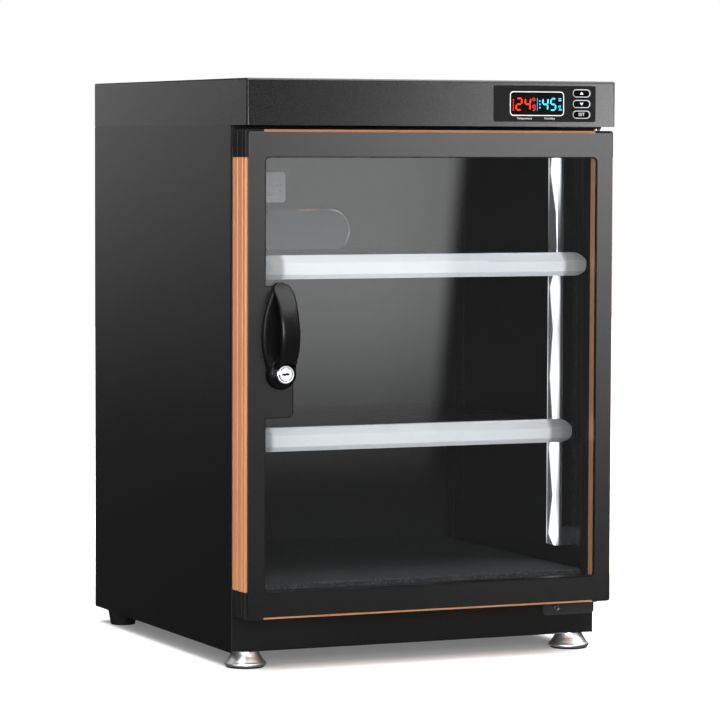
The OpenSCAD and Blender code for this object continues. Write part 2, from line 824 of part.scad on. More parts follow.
module light_bar_brackets() color("#9a9da1") placed()
    for (z = [light_z, light_z + light_h - light_bracket_h])
        translate([light_x + light_t, light_y, z]) linear_extrude(light_bracket_h) {
            square([light_bracket_t, light_foot]);
            square([wall_x - light_x - light_t, light_bracket_t]);
            translate([wall_x - light_x - light_t - light_bracket_t, 0])
                square([light_bracket_t, light_foot]);
        }

module dryer_cover() color("#55585c") placed() {
    translate([dryer_x, 0, dryer_z]) {
        upright_plate(liner_y - dryer_d + dryer_step, dryer_d - dryer_step) stadium(dryer_w, dryer_h);
        upright_plate(liner_y - dryer_d, dryer_step)
            stadium(dryer_w - 2 * ring_w, dryer_h - 2 * ring_w);
    }
}

module dryer_ring() color("#d8dadc") placed()
    translate([dryer_x, 0, dryer_z])
        upright_plate(liner_y - dryer_d, dryer_step) difference() {
            stadium(dryer_w, dryer_h);
            stadium(dryer_w - 2 * ring_w, dryer_h - 2 * ring_w);
        }

// The sensor's vented cover on the inner back panel
module sensor_cover() color("#d8dadc") placed() {
    slot_gap = sensor_h / (2 * sensor_slots + 1);
    translate([sensor_x - sensor_w, 0, dryer_z + dryer_h / 2 + sensor_rise / 2])
        difference() {
            upright_plate(liner_y - sensor_d, sensor_d) round_rect(sensor_w, sensor_h, slot_gap);
            for (i = [0 : sensor_slots - 1])
                translate([sensor_w / 8, liner_y - sensor_d - over, slot_gap * (2 * i + 1)])
                    cube([sensor_w * 3 / 4, sensor_d / 2 + over, slot_gap]);
        }
}

module floor_mat() color("#3b3c3e") placed()
    translate([-half_w + mat_edge, mat_front, floor_z])
        cube([cab_w - 2 * mat_edge, liner_y - 2 * mat_front, mat_t]);

// The door frame as one ring, which the profiles and corners are cut from
module frame_ring() {
    difference() {
        translate([-half_w, 0, door_z])
            upright_plate(frame_y, frame_d) round_rect(cab_w, door_h, door_corner_r);
        translate([-half_w + flange_w, frame_y - over, door_z + rail_w])
            cube([cab_w - 2 * flange_w, frame_d + 2 * over, door_h - 2 * rail_w]);
        translate([-half_w + box_w, frame_y + flange_d, door_z + box_w])
            cube([cab_w - 2 * box_w, frame_d, door_h - 2 * box_w]);
        for (g = groove_shares) frame_groove(g);
    }
}

// A groove round the outside of the frame, between two shares of its depth
module frame_groove(g) {
    core_w = cab_w - 2 * groove_depth;
    core_h = door_h - 2 * groove_depth;
    translate([-half_w, 0, door_z])
        upright_plate(-door_gap - g[1] * frame_d, (g[1] - g[0]) * frame_d)
            difference() {
                translate([-over, -over]) square([cab_w + 2 * over, door_h + 2 * over]);
                translate([groove_depth, groove_depth])
                    round_rect(core_w, core_h, door_corner_r - groove_depth / 2);
            }
}

// The hollow along a profile, which the corners' tenons fill at its ends
module side_hollow(s, gap, z, len) {
    w = box_w - groove_depth - 2 * profile_wall;
    d = frame_d - flange_d - 2 * profile_wall;
    translate([s * (half_w - groove_depth - profile_wall - w / 2) - w / 2 + gap,
        -door_gap - profile_wall - d + gap, z])
        cube([w - 2 * gap, d - 2 * gap, len]);
}

module rail_hollow(top, gap, x, len) {
    h = box_w - groove_depth - 2 * profile_wall;
    d = frame_d - flange_d - 2 * profile_wall;
    mid_z = top ? door_top - groove_depth - profile_wall - h / 2
                : door_z + groove_depth + profile_wall + h / 2;
    translate([x, -door_gap - profile_wall - d + gap, mid_z - h / 2 + gap])
        cube([len, d - 2 * gap, h - 2 * gap]);
}

module side_profile(s) {
    difference() {
        intersection() {
            frame_ring();
            translate([s > 0 ? half_w - flange_w : -half_w, frame_y, door_z + leg_z])
                cube([flange_w, frame_d, door_h - 2 * leg_z]);
        }
        side_hollow(s, 0, door_z, door_h);
    }
}

module rail_profile(top) {
    difference() {
        intersection() {
            frame_ring();
            translate([-half_w + flange_w, frame_y, top ? door_top - rail_w : door_z])
                cube([cab_w - 2 * flange_w, frame_d, rail_w]);
        }
        rail_hollow(top, 0, -half_w, cab_w);
    }
}

// A corner of the frame, with a tenon for each of the two profiles that meet there
module frame_corner(s, top) {
    corner_z = top ? door_top - leg_z : door_z;
    tenon_z = top ? corner_z - tenon_len : corner_z + leg_z;
    intersection() {
        frame_ring();
        translate([s > 0 ? half_w - flange_w : -half_w, frame_y, corner_z])
            cube([flange_w, frame_d, leg_z]);
    }
    side_hollow(s, fit_gap, tenon_z, tenon_len);
    rail_hollow(top, fit_gap, s > 0 ? half_w - flange_w - tenon_len : -half_w + flange_w, tenon_len);
}

module hinge_bore(top)
    translate([pin_x, pin_y, top ? door_top - pin_bite - over : door_z - over])
        cylinder(r = pin_r + run_gap, h = pin_bite + 2 * over);

module left_profile() color("#b87740") placed() side_profile(-1);

module right_profile() color("#b87740") placed() side_profile(1);

module top_profile() color("#b87740") placed() rail_profile(true);

module bottom_profile() color("#b87740") placed() rail_profile(false);

module top_left_corner() color("#18181a") placed() frame_corner(-1, true);

module bottom_left_corner() color("#18181a") placed() frame_corner(-1, false);

module top_right_corner() color("#18181a") placed() difference() {
    frame_corner(1, true);
    hinge_bore(true);
}

module bottom_right_corner() color("#18181a") placed() difference() {
    frame_corner(1, false);
    hinge_bore(false);
}

module door_glass() color("#3a3d40", 0.5) placed() difference() {
    translate([-half_w + glass_inset, 0, door_z + glass_inset])
        upright_plate(glass_y, glass_t)
            round_rect(cab_w - 2 * glass_inset, door_h - 2 * glass_inset, glass_r);
    rod_y(handle_x, glass_y - over, lock_z, lock_body_r + fit_gap, glass_t + 2 * over);
    rod_y(handle_x, glass_y - over, handle_mid_z + handle_screw_rise, handle_screw_r + fit_gap,
        glass_t + 2 * over);
}

// The seal: a lining inside the frame, a web behind it and a bead that meets the body
module seal_ring(inner, outer, y, t)
    difference() {
        translate([-half_w + outer, y, door_z + outer]) cube([cab_w - 2 * outer, t, door_h - 2 * outer]);
        translate([-half_w + inner, y - over, door_z + inner])
            cube([cab_w - 2 * inner, t + 2 * over, door_h - 2 * inner]);
    }

module door_seal() color("#111111") placed() {
    seal_ring(bead_inset + bead_w, bead_inset, -door_gap, bead_h);
    seal_ring(box_w + seal_t, bead_inset, -door_gap, web_t);
    seal_ring(box_w + seal_t, box_w, frame_y + flange_d, frame_d - flange_d + web_t);
}

// The handle's base: two arcs that meet round ends
module handle_outline() {
    mid = handle_w / 2;
    end = handle_end_w / 2;
    c = handle_h / 2 - end;
    r = (c * c + (mid - end) * (mid - end)) / (2 * (mid - end));
    intersection() {
        translate([mid - r, 0]) circle(r, $fn = 96);
        translate([r - mid, 0]) circle(r, $fn = 96);
        translate([-mid, -c]) square([handle_w, 2 * c]);
    }
    for (s = [-1, 1]) translate([0, s * c]) circle(end);
}

// The grip: a flat bar bowed out on one arc, with round ends that run into the base
module handle_grip() {
    c = handle_h / 2 - grip_t / 2;
    rise = handle_reach - handle_base_t;
    r = (c * c + rise * rise) / (2 * rise);
    intersection() {
        translate([-grip_w / 2, glass_y - handle_reach + r, 0]) rotate([90, 0, 90])
            linear_extrude(grip_w) difference() {
                circle(r, $fn = 96);
                circle(r - grip_t, $fn = 96);
            }
        upright_plate(glass_y - handle_reach - over, handle_reach + over)
            rotate(90) stadium(handle_h, grip_w);
    }
}

module door_handle() color("#0b0b0c") placed() difference() {
    translate([handle_x, 0, handle_mid_z]) {
        upright_plate(glass_y - handle_base_t, handle_base_t) handle_outline();
        handle_grip();
        translate([0, glass_y - handle_base_t, -lock_drop]) rotate([90, 0, 0])
            cylinder(r1 = boss_skirt_r, r2 = boss_r, h = boss_h - handle_base_t);
    }
    rod_y(handle_x, glass_y - handle_reach, lock_z, counterbore_r, handle_reach - boss_h);
    rod_y(handle_x, glass_y - handle_reach, lock_z, lock_head_r + fit_gap, handle_reach + over);
    rod_y(handle_x, glass_y - handle_screw_bite, handle_mid_z + handle_screw_rise,
        handle_screw_r + run_gap, handle_screw_bite + over);
}

module handle_screw() color("silver") placed() {
    rod_y(handle_x, glass_y - handle_screw_bite + fit_gap, handle_mid_z + handle_screw_rise,
        handle_screw_r, handle_screw_bite + glass_t);
    rod_y(handle_x, glass_y + glass_t, handle_mid_z + handle_screw_rise,
        handle_screw_head_r, handle_screw_head_h);
}

// The lock: a barrel clamped in the glass by its nut, and the plug with its cam
module lock_barrel() color("#c8cacc") placed() difference() {
    union() {
        rod_y(handle_x, glass_y - lock_reach, lock_z, lock_head_r, lock_reach);
        rod_y(handle_x, glass_y, lock_z, lock_body_r, cam_y - cam_t / 2 - glass_y - fit_gap);
    }
    rod_y(handle_x, glass_y - lock_reach - over, lock_z, plug_r + run_gap,
        cam_y - glass_y + lock_reach + 2 * over);
}

module lock_nut() color("#8b8d90") placed() difference() {
    translate([handle_x, glass_y + glass_t, lock_z]) rotate([-90, 0, 0])
        cylinder(r = nut_r, h = nut_t, $fn = 6);
    rod_y(handle_x, glass_y, lock_z, lock_body_r + run_gap, glass_t + nut_t + over);
}

module lock_plug() color("#d4d6d8") placed() difference() {
    face_y = glass_y - lock_reach - plug_proud;
    union() {
        rod_y(handle_x, face_y, lock_z, plug_r, cam_y - cam_t / 2 - face_y);
        rod_y(handle_x, cam_y - cam_t / 2, lock_z, stub_r, stub_len);
    }
    translate([handle_x - slot_l / 2, face_y - over, lock_z - slot_w / 2])
        cube([slot_l, slot_depth + over, slot_w]);
    for (s = [-1, 1])
        translate([handle_x + s * slot_l / 6 - slot_w / 2, face_y - over, lock_z + (s - 1) * slot_w / 2])
            cube([slot_w, slot_depth + over, slot_w]);
}

module lock_cam() color("#b4b6b8") placed()
    translate([handle_x, 0, lock_z]) upright_plate(cam_y - cam_t / 2, cam_t) difference() {
        union() {
            circle(plug_r);
            translate([-cam_w / 2, cam_w / 2 - cam_len]) square([cam_w, cam_len - cam_w / 2]);
            translate([0, cam_w / 2 - cam_len]) circle(cam_w / 2);
        }
        circle(stub_r + run_gap);
    }

module cam_nut() color("#8b8d90") placed() difference() {
    translate([handle_x, cam_y + cam_t / 2, lock_z]) rotate([-90, 0, 0])
        cylinder(r = cam_nut_r, h = cam_nut_t, $fn = 6);
    rod_y(handle_x, cam_y, lock_z, stub_r + run_gap, cam_t + cam_nut_t + over);
}

left_side_panel();
right_side_panel();
base_pan();
floor_plate();
header_panel();
inner_back_panel();
back_panel();
back_screws();
power_inlet();
top_cap();
control_bezel();
display_window();
display_module();
control_board();
front_feet();
front_foot_pads();
rear_feet();
upper_hinge_leaf();
lower_hinge_bracket();
hinge_pins();
hinge_screws();
lock_keeper();
shelf_uprights();
shelf_runners();
light_bar_housing();
light_bar_diffuser();
light_bar_brackets();
dryer_cover();
dryer_ring();
sensor_cover();
floor_mat();
door_glass();
door_seal();
left_profile();
right_profile();
top_profile();
bottom_profile();
top_left_corner();
top_right_corner();
bottom_left_corner();
bottom_right_corner();
door_handle();
handle_screw();
lock_barrel();
lock_nut();
lock_plug();
lock_cam();
cam_nut();
upper_shelf_tray();
upper_shelf_rail();
lower_shelf_tray();
lower_shelf_rail();
up_button();
down_button();
set_button();
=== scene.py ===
# %% [markdown]
# # A dry cabinet
# The cabinet keeps what stands in it at a steady humidity behind a glass door. Its hard shapes come from
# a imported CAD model, which is loaded first and never moved. This lesson dresses those shapes: soft edges,
# paint, anodised metal, glass, moulded plastic and light.

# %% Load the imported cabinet
import json
import math
import bmesh
import bpy
from mathutils import Matrix, Vector


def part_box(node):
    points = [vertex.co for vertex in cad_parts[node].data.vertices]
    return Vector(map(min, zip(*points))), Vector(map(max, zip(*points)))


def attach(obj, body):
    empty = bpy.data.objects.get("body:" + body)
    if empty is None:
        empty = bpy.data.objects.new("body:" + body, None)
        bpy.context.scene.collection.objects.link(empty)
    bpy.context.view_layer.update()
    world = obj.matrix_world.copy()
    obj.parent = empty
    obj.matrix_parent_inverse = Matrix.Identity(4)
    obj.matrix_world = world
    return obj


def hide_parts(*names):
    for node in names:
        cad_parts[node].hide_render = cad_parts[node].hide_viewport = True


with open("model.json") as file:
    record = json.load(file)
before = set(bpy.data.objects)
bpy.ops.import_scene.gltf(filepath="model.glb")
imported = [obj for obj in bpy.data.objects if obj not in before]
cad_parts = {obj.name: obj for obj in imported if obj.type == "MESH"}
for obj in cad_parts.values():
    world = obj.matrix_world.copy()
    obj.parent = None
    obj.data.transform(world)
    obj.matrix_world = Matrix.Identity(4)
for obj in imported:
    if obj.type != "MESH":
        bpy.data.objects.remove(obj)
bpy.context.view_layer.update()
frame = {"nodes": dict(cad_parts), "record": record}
nodes = frame["nodes"]
MM = 0.001

# %% [markdown]
# ## Sizes
# Every length below is in millimetres and is turned into metres where it is used. Heights start at the
# floor and depths at the front plane of the folded body. The main sizes are read off the solids, so the
# dressing still fits when the CAD model changes.

# %% Read the main sizes off the solids
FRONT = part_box("left_side_panel")[0].y


def spot(x, y, z):
    """A place in millimetres, measured from the middle, the body's front plane and the floor."""
    return Vector((x * MM, FRONT + y * MM, z * MM))


def reach(node):
    """The lowest and highest corner of a solid, in millimetres from the same three planes."""
    low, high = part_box(node)
    shift = Vector((0, FRONT, 0))
    return (low - shift) / MM, (high - shift) / MM


glass_low, glass_high = reach("door_glass")
frame_low = reach("left_profile")[0]
handle_low, handle_high = reach("door_handle")
window_low, window_high = reach("display_window")
print("glass", [round(v, 1) for v in glass_low], [round(v, 1) for v in glass_high])

# %% [markdown]
# ## Node trees written as sums
# Materials and geometry trees are both webs of nodes. `Wire` wraps a socket, so that `1 - mask * 0.5`
# adds its Math nodes by itself, and `Web.add` makes any other node from its type, its settings and what
# goes into it.

# %% Wrap sockets and trees


class Wire:
    """An output socket that can be used in a sum."""

    def __init__(self, web, socket):
        self.web = web
        self.socket = socket

    def do(self, operation, *others):
        return self.web.add("ShaderNodeMath", {"operation": operation}, dict(enumerate((self, *others))))

    def __add__(self, other):
        return self.do("ADD", other)

    def __sub__(self, other):
        return self.do("SUBTRACT", other)

    def __mul__(self, other):
        return self.do("MULTIPLY", other)

    def __rsub__(self, other):
        return self.web.add("ShaderNodeMath", {"operation": "SUBTRACT"}, {0: other, 1: self})

    __radd__ = __add__
    __rmul__ = __mul__

    def smooth(self, low, high):
        """0 below low and 1 above high, with a soft step between them."""
        values = {"Value": self, "From Min": low, "From Max": high}
        return self.web.add("ShaderNodeMapRange", {"interpolation_type": "SMOOTHSTEP"}, values)


class Web:
    """A node tree that is filled by one method."""

    def __init__(self, tree):
        self.tree = tree

    def add(self, kind, settings=None, values=None, out=0):
        node = self.tree.nodes.new(kind)
        for key, value in (settings or {}).items():
            if key == "stops":
                self.fill_ramp(node.color_ramp, value)
            else:
                setattr(node, key, value)
        for key, value in (values or {}).items():
            if isinstance(value, Wire):
                self.tree.links.new(value.socket, node.inputs[key])
            else:
                node.inputs[key].default_value = value
        return Wire(self, node.outputs[out]) if len(node.outputs) else node

    def fill_ramp(self, ramp, stops):
        while len(ramp.elements) < len(stops):
            ramp.elements.new(1)
        for element, (place, grey) in zip(ramp.elements, stops):
            element.position = place
            element.color = (grey, grey, grey, 1)

    def blend(self, mask, first, second):
        """A colour between two others."""
        return self.add("ShaderNodeMix", {"data_type": "RGBA"}, {0: mask, 6: first, 7: second}, out=2)


print("node trees are ready")

# %% [markdown]
# ## A finish
# Each finish is a Principled shader. What varies over its surface is only colour, roughness, metal and
# bump. Patterns are laid out in Object coordinates, which are metres here, so a noise of scale 1000 has
# grains of about a millimetre.

# %% Start a finish


class Finish(Web):
    """A material with one Principled shader."""

    def __init__(self, name, colour, roughness, metal=0.0, **sockets):
        self.material = bpy.data.materials.new(name)
        self.material.use_nodes = True
        super().__init__(self.material.node_tree)
        self.shader = self.tree.nodes["Principled BSDF"]
        self.end = self.tree.nodes["Material Output"]
        self.put(**{"Base Color": (*colour, 1), "Roughness": roughness, "Metallic": metal})
        self.put(**{key.replace("_", " "): value for key, value in sockets.items()})

    def put(self, **values):
        for key, value in values.items():
            if isinstance(value, Wire):
                self.tree.links.new(value.socket, self.shader.inputs[key])
            else:
                self.shader.inputs[key].default_value = value
        return self

    def place(self, x=1.0, y=1.0, z=1.0):
        """Object coordinates, stretched along each axis."""
        here = self.add("ShaderNodeTexCoord", out=3)
        if (x, y, z) == (1.0, 1.0, 1.0):
            return here
        return self.add("ShaderNodeMapping", None, {"Vector": here, "Scale": (x, y, z)})

    def along(self, axis):
        """Where a point lies along X, Y or Z, which are axes 0, 1 and 2."""
        return self.add("ShaderNodeSeparateXYZ", None, {0: self.place()}, out=axis)

    def noise(self, scale, detail=2.0, where=None, rough=0.5):
        values = {"Vector": where or self.place(), "Scale": scale, "Detail": detail, "Roughness": rough}
        return self.add("ShaderNodeTexNoise", None, values)

    def bump(self, height, depth, strength=1.0):
        """Raises the surface by a height from 0 to 1, depth millimetres in all."""
        values = {"Height": height, "Strength": strength, "Distance": depth * MM}
        return self.put(Normal=self.add("ShaderNodeBump", None, values))


def shade(value):
    return (value, value, value)


print("a finish can be started")

# %% [markdown]
# ## Powder coat
# The folded steel has a fine-textured powder coat: a charcoal paint that dries in tiny pebbles. Its
# sparkle comes from a bump of fine noise and from paler specks, and a wide faint noise keeps large faces
# from looking printed. The cap is a touch lighter than the sides, and the inside is smoother.

# %% Mix the paints


def powder_coat(name, tone, pebble, rough, grain=1500, specks=0.5):
    paint = Finish(name, shade(tone), rough)
    fine = paint.noise(grain, 3)
    wide = paint.noise(9, 2)
    speck = paint.noise(grain * 0.45, 1).smooth(0.56, 0.74)
    base = paint.blend(wide, (*shade(tone * 0.75), 1), (*shade(tone * 1.3), 1))
    paint.put(**{"Base Color": paint.blend(speck * specks, base, (*shade(tone * 3.2), 1))})
    paint.put(Roughness=rough - 0.06 + fine * 0.12)
    paint.bump(fine, pebble, 0.5)
    return paint.material


side_paint = powder_coat("side_powder_coat", 0.0038, 0.09, 0.32)
cap_paint = powder_coat("cap_powder_coat", 0.0048, 0.09, 0.26)
plinth_paint = powder_coat("plinth_powder_coat", 0.0075, 0.09, 0.40)
inner_paint = powder_coat("inner_satin_paint", 0.015, 0.004, 0.50, 300, 0.05)
bracket_paint = powder_coat("bracket_satin_paint", 0.022, 0.004, 0.42, 300, 0.1)
print("paints:", side_paint.name, cap_paint.name, plinth_paint.name, inner_paint.name)

# %% [markdown]
# ## Copper-coloured aluminium
# The door's profiles are extruded aluminium, anodised in a copper colour. Extrusion leaves hair-fine
# lines along each profile, so the noise is stretched along its length. A metal keeps its colour in its
# reflections, which makes the grooves read as dark copper and the lips as bright copper.

# %% Mix the anodised copper


def anodised(name, stretch, black_from=None):
    metal = Finish(name, (0.70, 0.30, 0.145), 0.34, 0.45)
    lines = metal.noise(1, 3, metal.place(*stretch))
    soft = metal.noise(14, 2)
    tint = metal.blend(soft, (0.70, 0.31, 0.150, 1), (0.80, 0.37, 0.185, 1))
    colour = metal.blend(lines * 0.35, tint, (0.50, 0.21, 0.095, 1))
    if black_from:
        top_face = metal.along(2).smooth((black_from - 0.6) * MM, black_from * MM)
        colour = metal.blend(top_face, colour, (0.004, 0.004, 0.004, 1))
        metal.put(Metallic=0.45 - top_face * 0.45)
    metal.put(**{"Base Color": colour})
    metal.put(Roughness=0.28 + lines * 0.14)
    metal.bump(lines, 0.02, 0.4)
    return metal.material


copper_upright = anodised("anodised_copper_upright", (2600, 2600, 18))
copper_level = anodised("anodised_copper_level", (18, 2600, 2600))
sill_top = reach("bottom_profile")[1].z
copper_sill = anodised("anodised_copper_sill", (18, 2600, 2600), sill_top - 0.3)
print("copper:", copper_upright.name, copper_level.name)

# %% [markdown]
# ## Plastics, rubber and plated metal
# Moulded plastic has a very fine grain and a slow waviness, rubber is dull, and plated metal is a mirror
# whose roughness changes a little from place to place. The shelf rails are white, and grey is painted
# into their colour towards their ends as painted shade, where they leave the light.

# %% Mix the plastics and rubbers


def moulded(name, colour, rough, grain=1100, depth=0.01, **sockets):
    plastic = Finish(name, colour, rough, **sockets)
    fine = plastic.noise(grain, 2)
    wide = plastic.noise(30, 2)
    dark = tuple(c * 0.86 for c in colour)
    light = tuple(min(1.0, c * 1.12) for c in colour)
    plastic.put(**{"Base Color": plastic.blend(wide, (*dark, 1), (*light, 1))})
    plastic.put(Roughness=rough - 0.03 + fine * 0.06)
    plastic.bump(fine, depth, 0.4)
    return plastic.material


corner_black = moulded("corner_moulding", shade(0.012), 0.38, depth=0.04)
handle_black = moulded("polished_black", shade(0.0030), 0.30, grain=240, depth=0.003, Specular_IOR_Level=0.2)
rail = Finish("rail_with_ends", (0.86, 0.862, 0.865), 0.30, Coat_Weight=0.2)
rail_x = rail.along(0).do("ABSOLUTE")
# The grey towards the rail's ends is painted shade in the base colour.
painted_end_shade = rail_x.smooth(0.150, 0.157) * 0.72 + rail_x.smooth(0.157, 0.178) * 0.2
rail.put(**{"Base Color": rail.blend(painted_end_shade, (0.88, 0.882, 0.885, 1), (0.13, 0.13, 0.13, 1))})
rail.put(Roughness=0.28 + rail.noise(700, 2) * 0.06)
rail_white = rail.material
bezel_black = moulded("bezel_moulding", shade(0.010), 0.38, depth=0.004, Specular_IOR_Level=0.2)
button_black = moulded("button_gloss", shade(0.003), 0.12, grain=240, depth=0.002)
inlet_black = moulded("inlet_moulding", shade(0.010), 0.45)
dryer_grey = moulded("dryer_moulding", (0.110, 0.112, 0.116), 0.36)
sensor_white = moulded("sensor_moulding", (0.80, 0.81, 0.82), 0.40)
board_green = moulded("board_laminate", (0.012, 0.09, 0.035), 0.35)
tray_paint = powder_coat("tray_satin_paint", 0.016, 0.004, 0.36, 300, 0.1)
pad_rubber = moulded("pad_rubber", shade(0.008), 0.75, depth=0.05)
foot_rubber = moulded("foot_rubber", shade(0.010), 0.62, depth=0.05)
seal_rubber = moulded("seal_rubber", shade(0.008), 0.60, depth=0.03)
print("plastics and rubbers are mixed")

# %% Mix the plated and turned metals


def plated(name, colour, rough, stretch=(300, 300, 300), depth=0.004):
    metal = Finish(name, colour, rough, 1.0)
    lines = metal.noise(1, 3, metal.place(*stretch))
    metal.put(Roughness=rough * 0.75 + lines * rough * 0.5)
    metal.bump(lines, depth, 0.3)
    return metal.material


chrome = plated("chrome_plate", (0.83, 0.84, 0.86), 0.10)
zinc = plated("zinc_plate", (0.60, 0.61, 0.63), 0.28)
foot_metal = plated("turned_aluminium", (0.90, 0.905, 0.91), 0.40, (60, 60, 2600), 0.004)
bar_metal = plated("bar_aluminium", (0.62, 0.63, 0.65), 0.34, (1200, 1200, 20), 0.01)
print("metals:", chrome.name, zinc.name, foot_metal.name, bar_metal.name)

# %% [markdown]
# ## Foam mat
# The mat is a dark closed-cell foam with paler flecks. Small cells from a Voronoi pattern give the pits, and
# a fine noise gives the flecks.

# %% Mix the foam
foam = Finish("mat_foam", shade(0.030), 0.86)
cells = foam.add("ShaderNodeTexVoronoi", None, {"Vector": foam.place(), "Scale": 420})
fleck = foam.noise(900, 2).smooth(0.50, 0.66)
patch = foam.noise(25, 2)
ground = foam.blend(patch, (*shade(0.036), 1), (*shade(0.060), 1))
foam.put(**{"Base Color": foam.blend(fleck * 0.8, ground, (*shade(0.24), 1))})
foam.bump(cells * 0.6 + fleck * 0.5, 0.5, 0.7)
mat_foam = foam.material
print("foam:", mat_foam.name)

# %% [markdown]
# ## Glass
# The door is one sheet of glass whose border is printed black on the inside. The clear part lets light
# through with a grey tint and mirrors a little, more at a shallow angle. Light runs straight through this
# pane, so a Fresnel node would take its inner faces for total mirrors; a fifth power of the facing weight
# mirrors alike from both sides. The printed border is a dark satin coat under the glass.

# %% Mix the glass and its print
clear = Finish("clear_glass", shade(0.92), 0.02, 1.0)
see_through = clear.add("ShaderNodeBsdfTransparent", None, {"Color": (0.80, 0.81, 0.82, 1)})
facing = clear.add("ShaderNodeLayerWeight", None, {"Blend": 0.5}, out=1)
edge_on = facing.do("POWER", 5) * 0.9 + 0.042
mirror = Wire(clear, clear.shader.outputs[0])
pane = clear.add("ShaderNodeMixShader", None, {0: edge_on, 1: see_through, 2: mirror})
clear.tree.links.new(pane.socket, clear.end.inputs["Surface"])
clear_glass = clear.material
border = Finish("printed_glass", shade(0.006), 0.24, Coat_Weight=0.1, Coat_Roughness=0.1)
ripple = border.noise(6, 1)
border.put(Roughness=0.22 + ripple * 0.05)
border.put(**{"Base Color": border.blend(ripple, (*shade(0.005), 1), (*shade(0.009), 1))})
border_print = border.material
smoke = Finish("smoked_window", shade(0.004), 0.10, Coat_Weight=0.5, Coat_Roughness=0.02)
smoke.put(Roughness=0.08 + smoke.noise(12, 1) * 0.05)
smoked = smoke.material
print("glass:", clear_glass.name, border_print.name, smoked.name)

# %% Mix what shines by itself


def glowing(name, colour, strength):
    light = Finish(name, colour, 0.4, Emission_Strength=strength, Specular_IOR_Level=0.1)
    light.put(**{"Emission Color": (*colour, 1)})
    drift = light.noise(60, 1)
    light.put(Roughness=0.35 + drift * 0.1)
    return light.material


red_digit = glowing("red_digit", (1.0, 0.035, 0.012), 0.9)
red_dim = glowing("red_digit_small", (0.75, 0.025, 0.01), 0.7)
blue_digit = glowing("blue_digit", (0.045, 0.52, 0.80), 1.15)
blue_dim = glowing("blue_digit_small", (0.04, 0.36, 0.62), 0.7)
print_white = moulded("white_print", shade(0.62), 0.5)
print("lights and prints are mixed")

# %% [markdown]
# ## Soft edges
# Real folds, mouldings and machined parts have no knife edges: a small rounding catches a line of light.
# A solid's mesh is loose triangles, so a copy is merged, its flat faces are joined again, and a Bevel
# modifier rounds every edge that is sharper than 35 degrees. Weighted normals then keep the large faces
# flat, so that only the rounding shades smoothly. The copy stands for the solid.

# %% Round the edges of a solid
BODY_OF = {node: body for body, members in frame["record"]["behaviour"]["bodies"].items() for node in members}


def coat(piece, material):
    """Gives a piece or a solid one finish all over."""
    piece.data.materials.clear()
    piece.data.materials.append(material)


def link(name, mesh, material=None):
    piece = bpy.data.objects.new(name, mesh)
    bpy.context.scene.collection.objects.link(piece)
    if material is not None:
        coat(piece, material)
    return piece


def as_mesh(name, shell):
    """Turns a bmesh into a plain mesh."""
    mesh = bpy.data.meshes.new(name)
    shell.to_mesh(mesh)
    shell.free()
    return mesh


def shade_smooth(mesh, angle):
    """Shades a mesh smooth, apart from the edges that are sharper than an angle."""
    mesh.polygons.foreach_set("use_smooth", [True] * len(mesh.polygons))
    mesh.set_sharp_from_angle(angle=math.radians(angle))


def settle(piece, angle=None):
    """Applies the piece's modifiers; with an angle it is shaded smooth up to that angle."""
    graph = bpy.context.evaluated_depsgraph_get()
    done = bpy.data.meshes.new_from_object(piece.evaluated_get(graph))
    piece.modifiers.clear()
    piece.data = done
    if angle:
        shade_smooth(done, angle)
    return piece


def bevel(piece, width, segments=2, angle=35):
    edge = piece.modifiers.new("edges", "BEVEL")
    edge.width = width * MM
    edge.segments = segments
    edge.limit_method = "ANGLE"
    edge.angle_limit = math.radians(angle)
    flat = piece.modifiers.new("flat_faces", "WEIGHTED_NORMAL")
    flat.mode = "FACE_AREA"
    flat.weight = 100
    return piece


def soften(node, width, material, segments=2):
    shell = bmesh.new()
    shell.from_mesh(nodes[node].data)
    bmesh.ops.remove_doubles(shell, verts=shell.verts, dist=0.01 * MM)
    flat = math.radians(0.6)
    bmesh.ops.dissolve_limit(shell, angle_limit=flat, verts=shell.verts, edges=shell.edges)
    mesh = as_mesh(node, shell)
    mesh.polygons.foreach_set("use_smooth", [True] * len(mesh.polygons))
    piece = settle(bevel(link("soft_" + node, mesh, material), width, segments))
    coat(piece, material)
    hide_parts(node)
    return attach(piece, BODY_OF[node])


print("solids can be softened")

# %% [markdown]
# ## The folded body
# The side panels, the pan under the door, the header and the cap are folded from steel sheet just over a
# millimetre thick, so their cut edges get a rounding of a third of a millimetre.

# %% Dress the body
for node, width, material in (
    ("left_side_panel", 0.35, side_paint), ("right_side_panel", 0.35, side_paint),
    ("base_pan", 0.35, plinth_paint), ("top_cap", 0.35, cap_paint),
    ("back_panel", 0.35, side_paint), ("header_panel", 0.3, inner_paint),
    ("upper_hinge_leaf", 0.3, bracket_paint), ("lower_hinge_bracket", 0.4, bracket_paint),
    ("lock_keeper", 0.3, zinc), ("hinge_screws", 0.25, zinc),
):
    soften(node, width, material)
for node, material in (
    ("floor_plate", inner_paint), ("inner_back_panel", inner_paint), ("shelf_uprights", bracket_paint),
    ("shelf_runners", bracket_paint), ("hinge_pins", zinc), ("power_inlet", inlet_black),
    ("control_board", board_green), ("display_module", inlet_black), ("handle_screw", zinc),
    ("lock_nut", zinc), ("cam_nut", zinc), ("lock_cam", zinc), ("light_bar_brackets", bar_metal),
    ("door_seal", seal_rubber),
):
    coat(nodes[node], material)
print("the body is painted")

# %% [markdown]
# ## The door frame
# Four copper profiles meet in black corner mouldings. The grooves along them are in the solids. Their
# lips get a small rounding, which is what draws the bright lines at the glass. The sill's upper face,
# under the glass, is coloured black.

# %% Dress the door frame
for side in ("left", "right"):
    soften(side + "_profile", 0.35, copper_upright)
    for level in ("top", "bottom"):
        soften(level + "_" + side + "_corner", 0.4, corner_black)
soften("top_profile", 0.35, copper_level)
soften("bottom_profile", 0.35, copper_sill)
print("the frame is dressed")

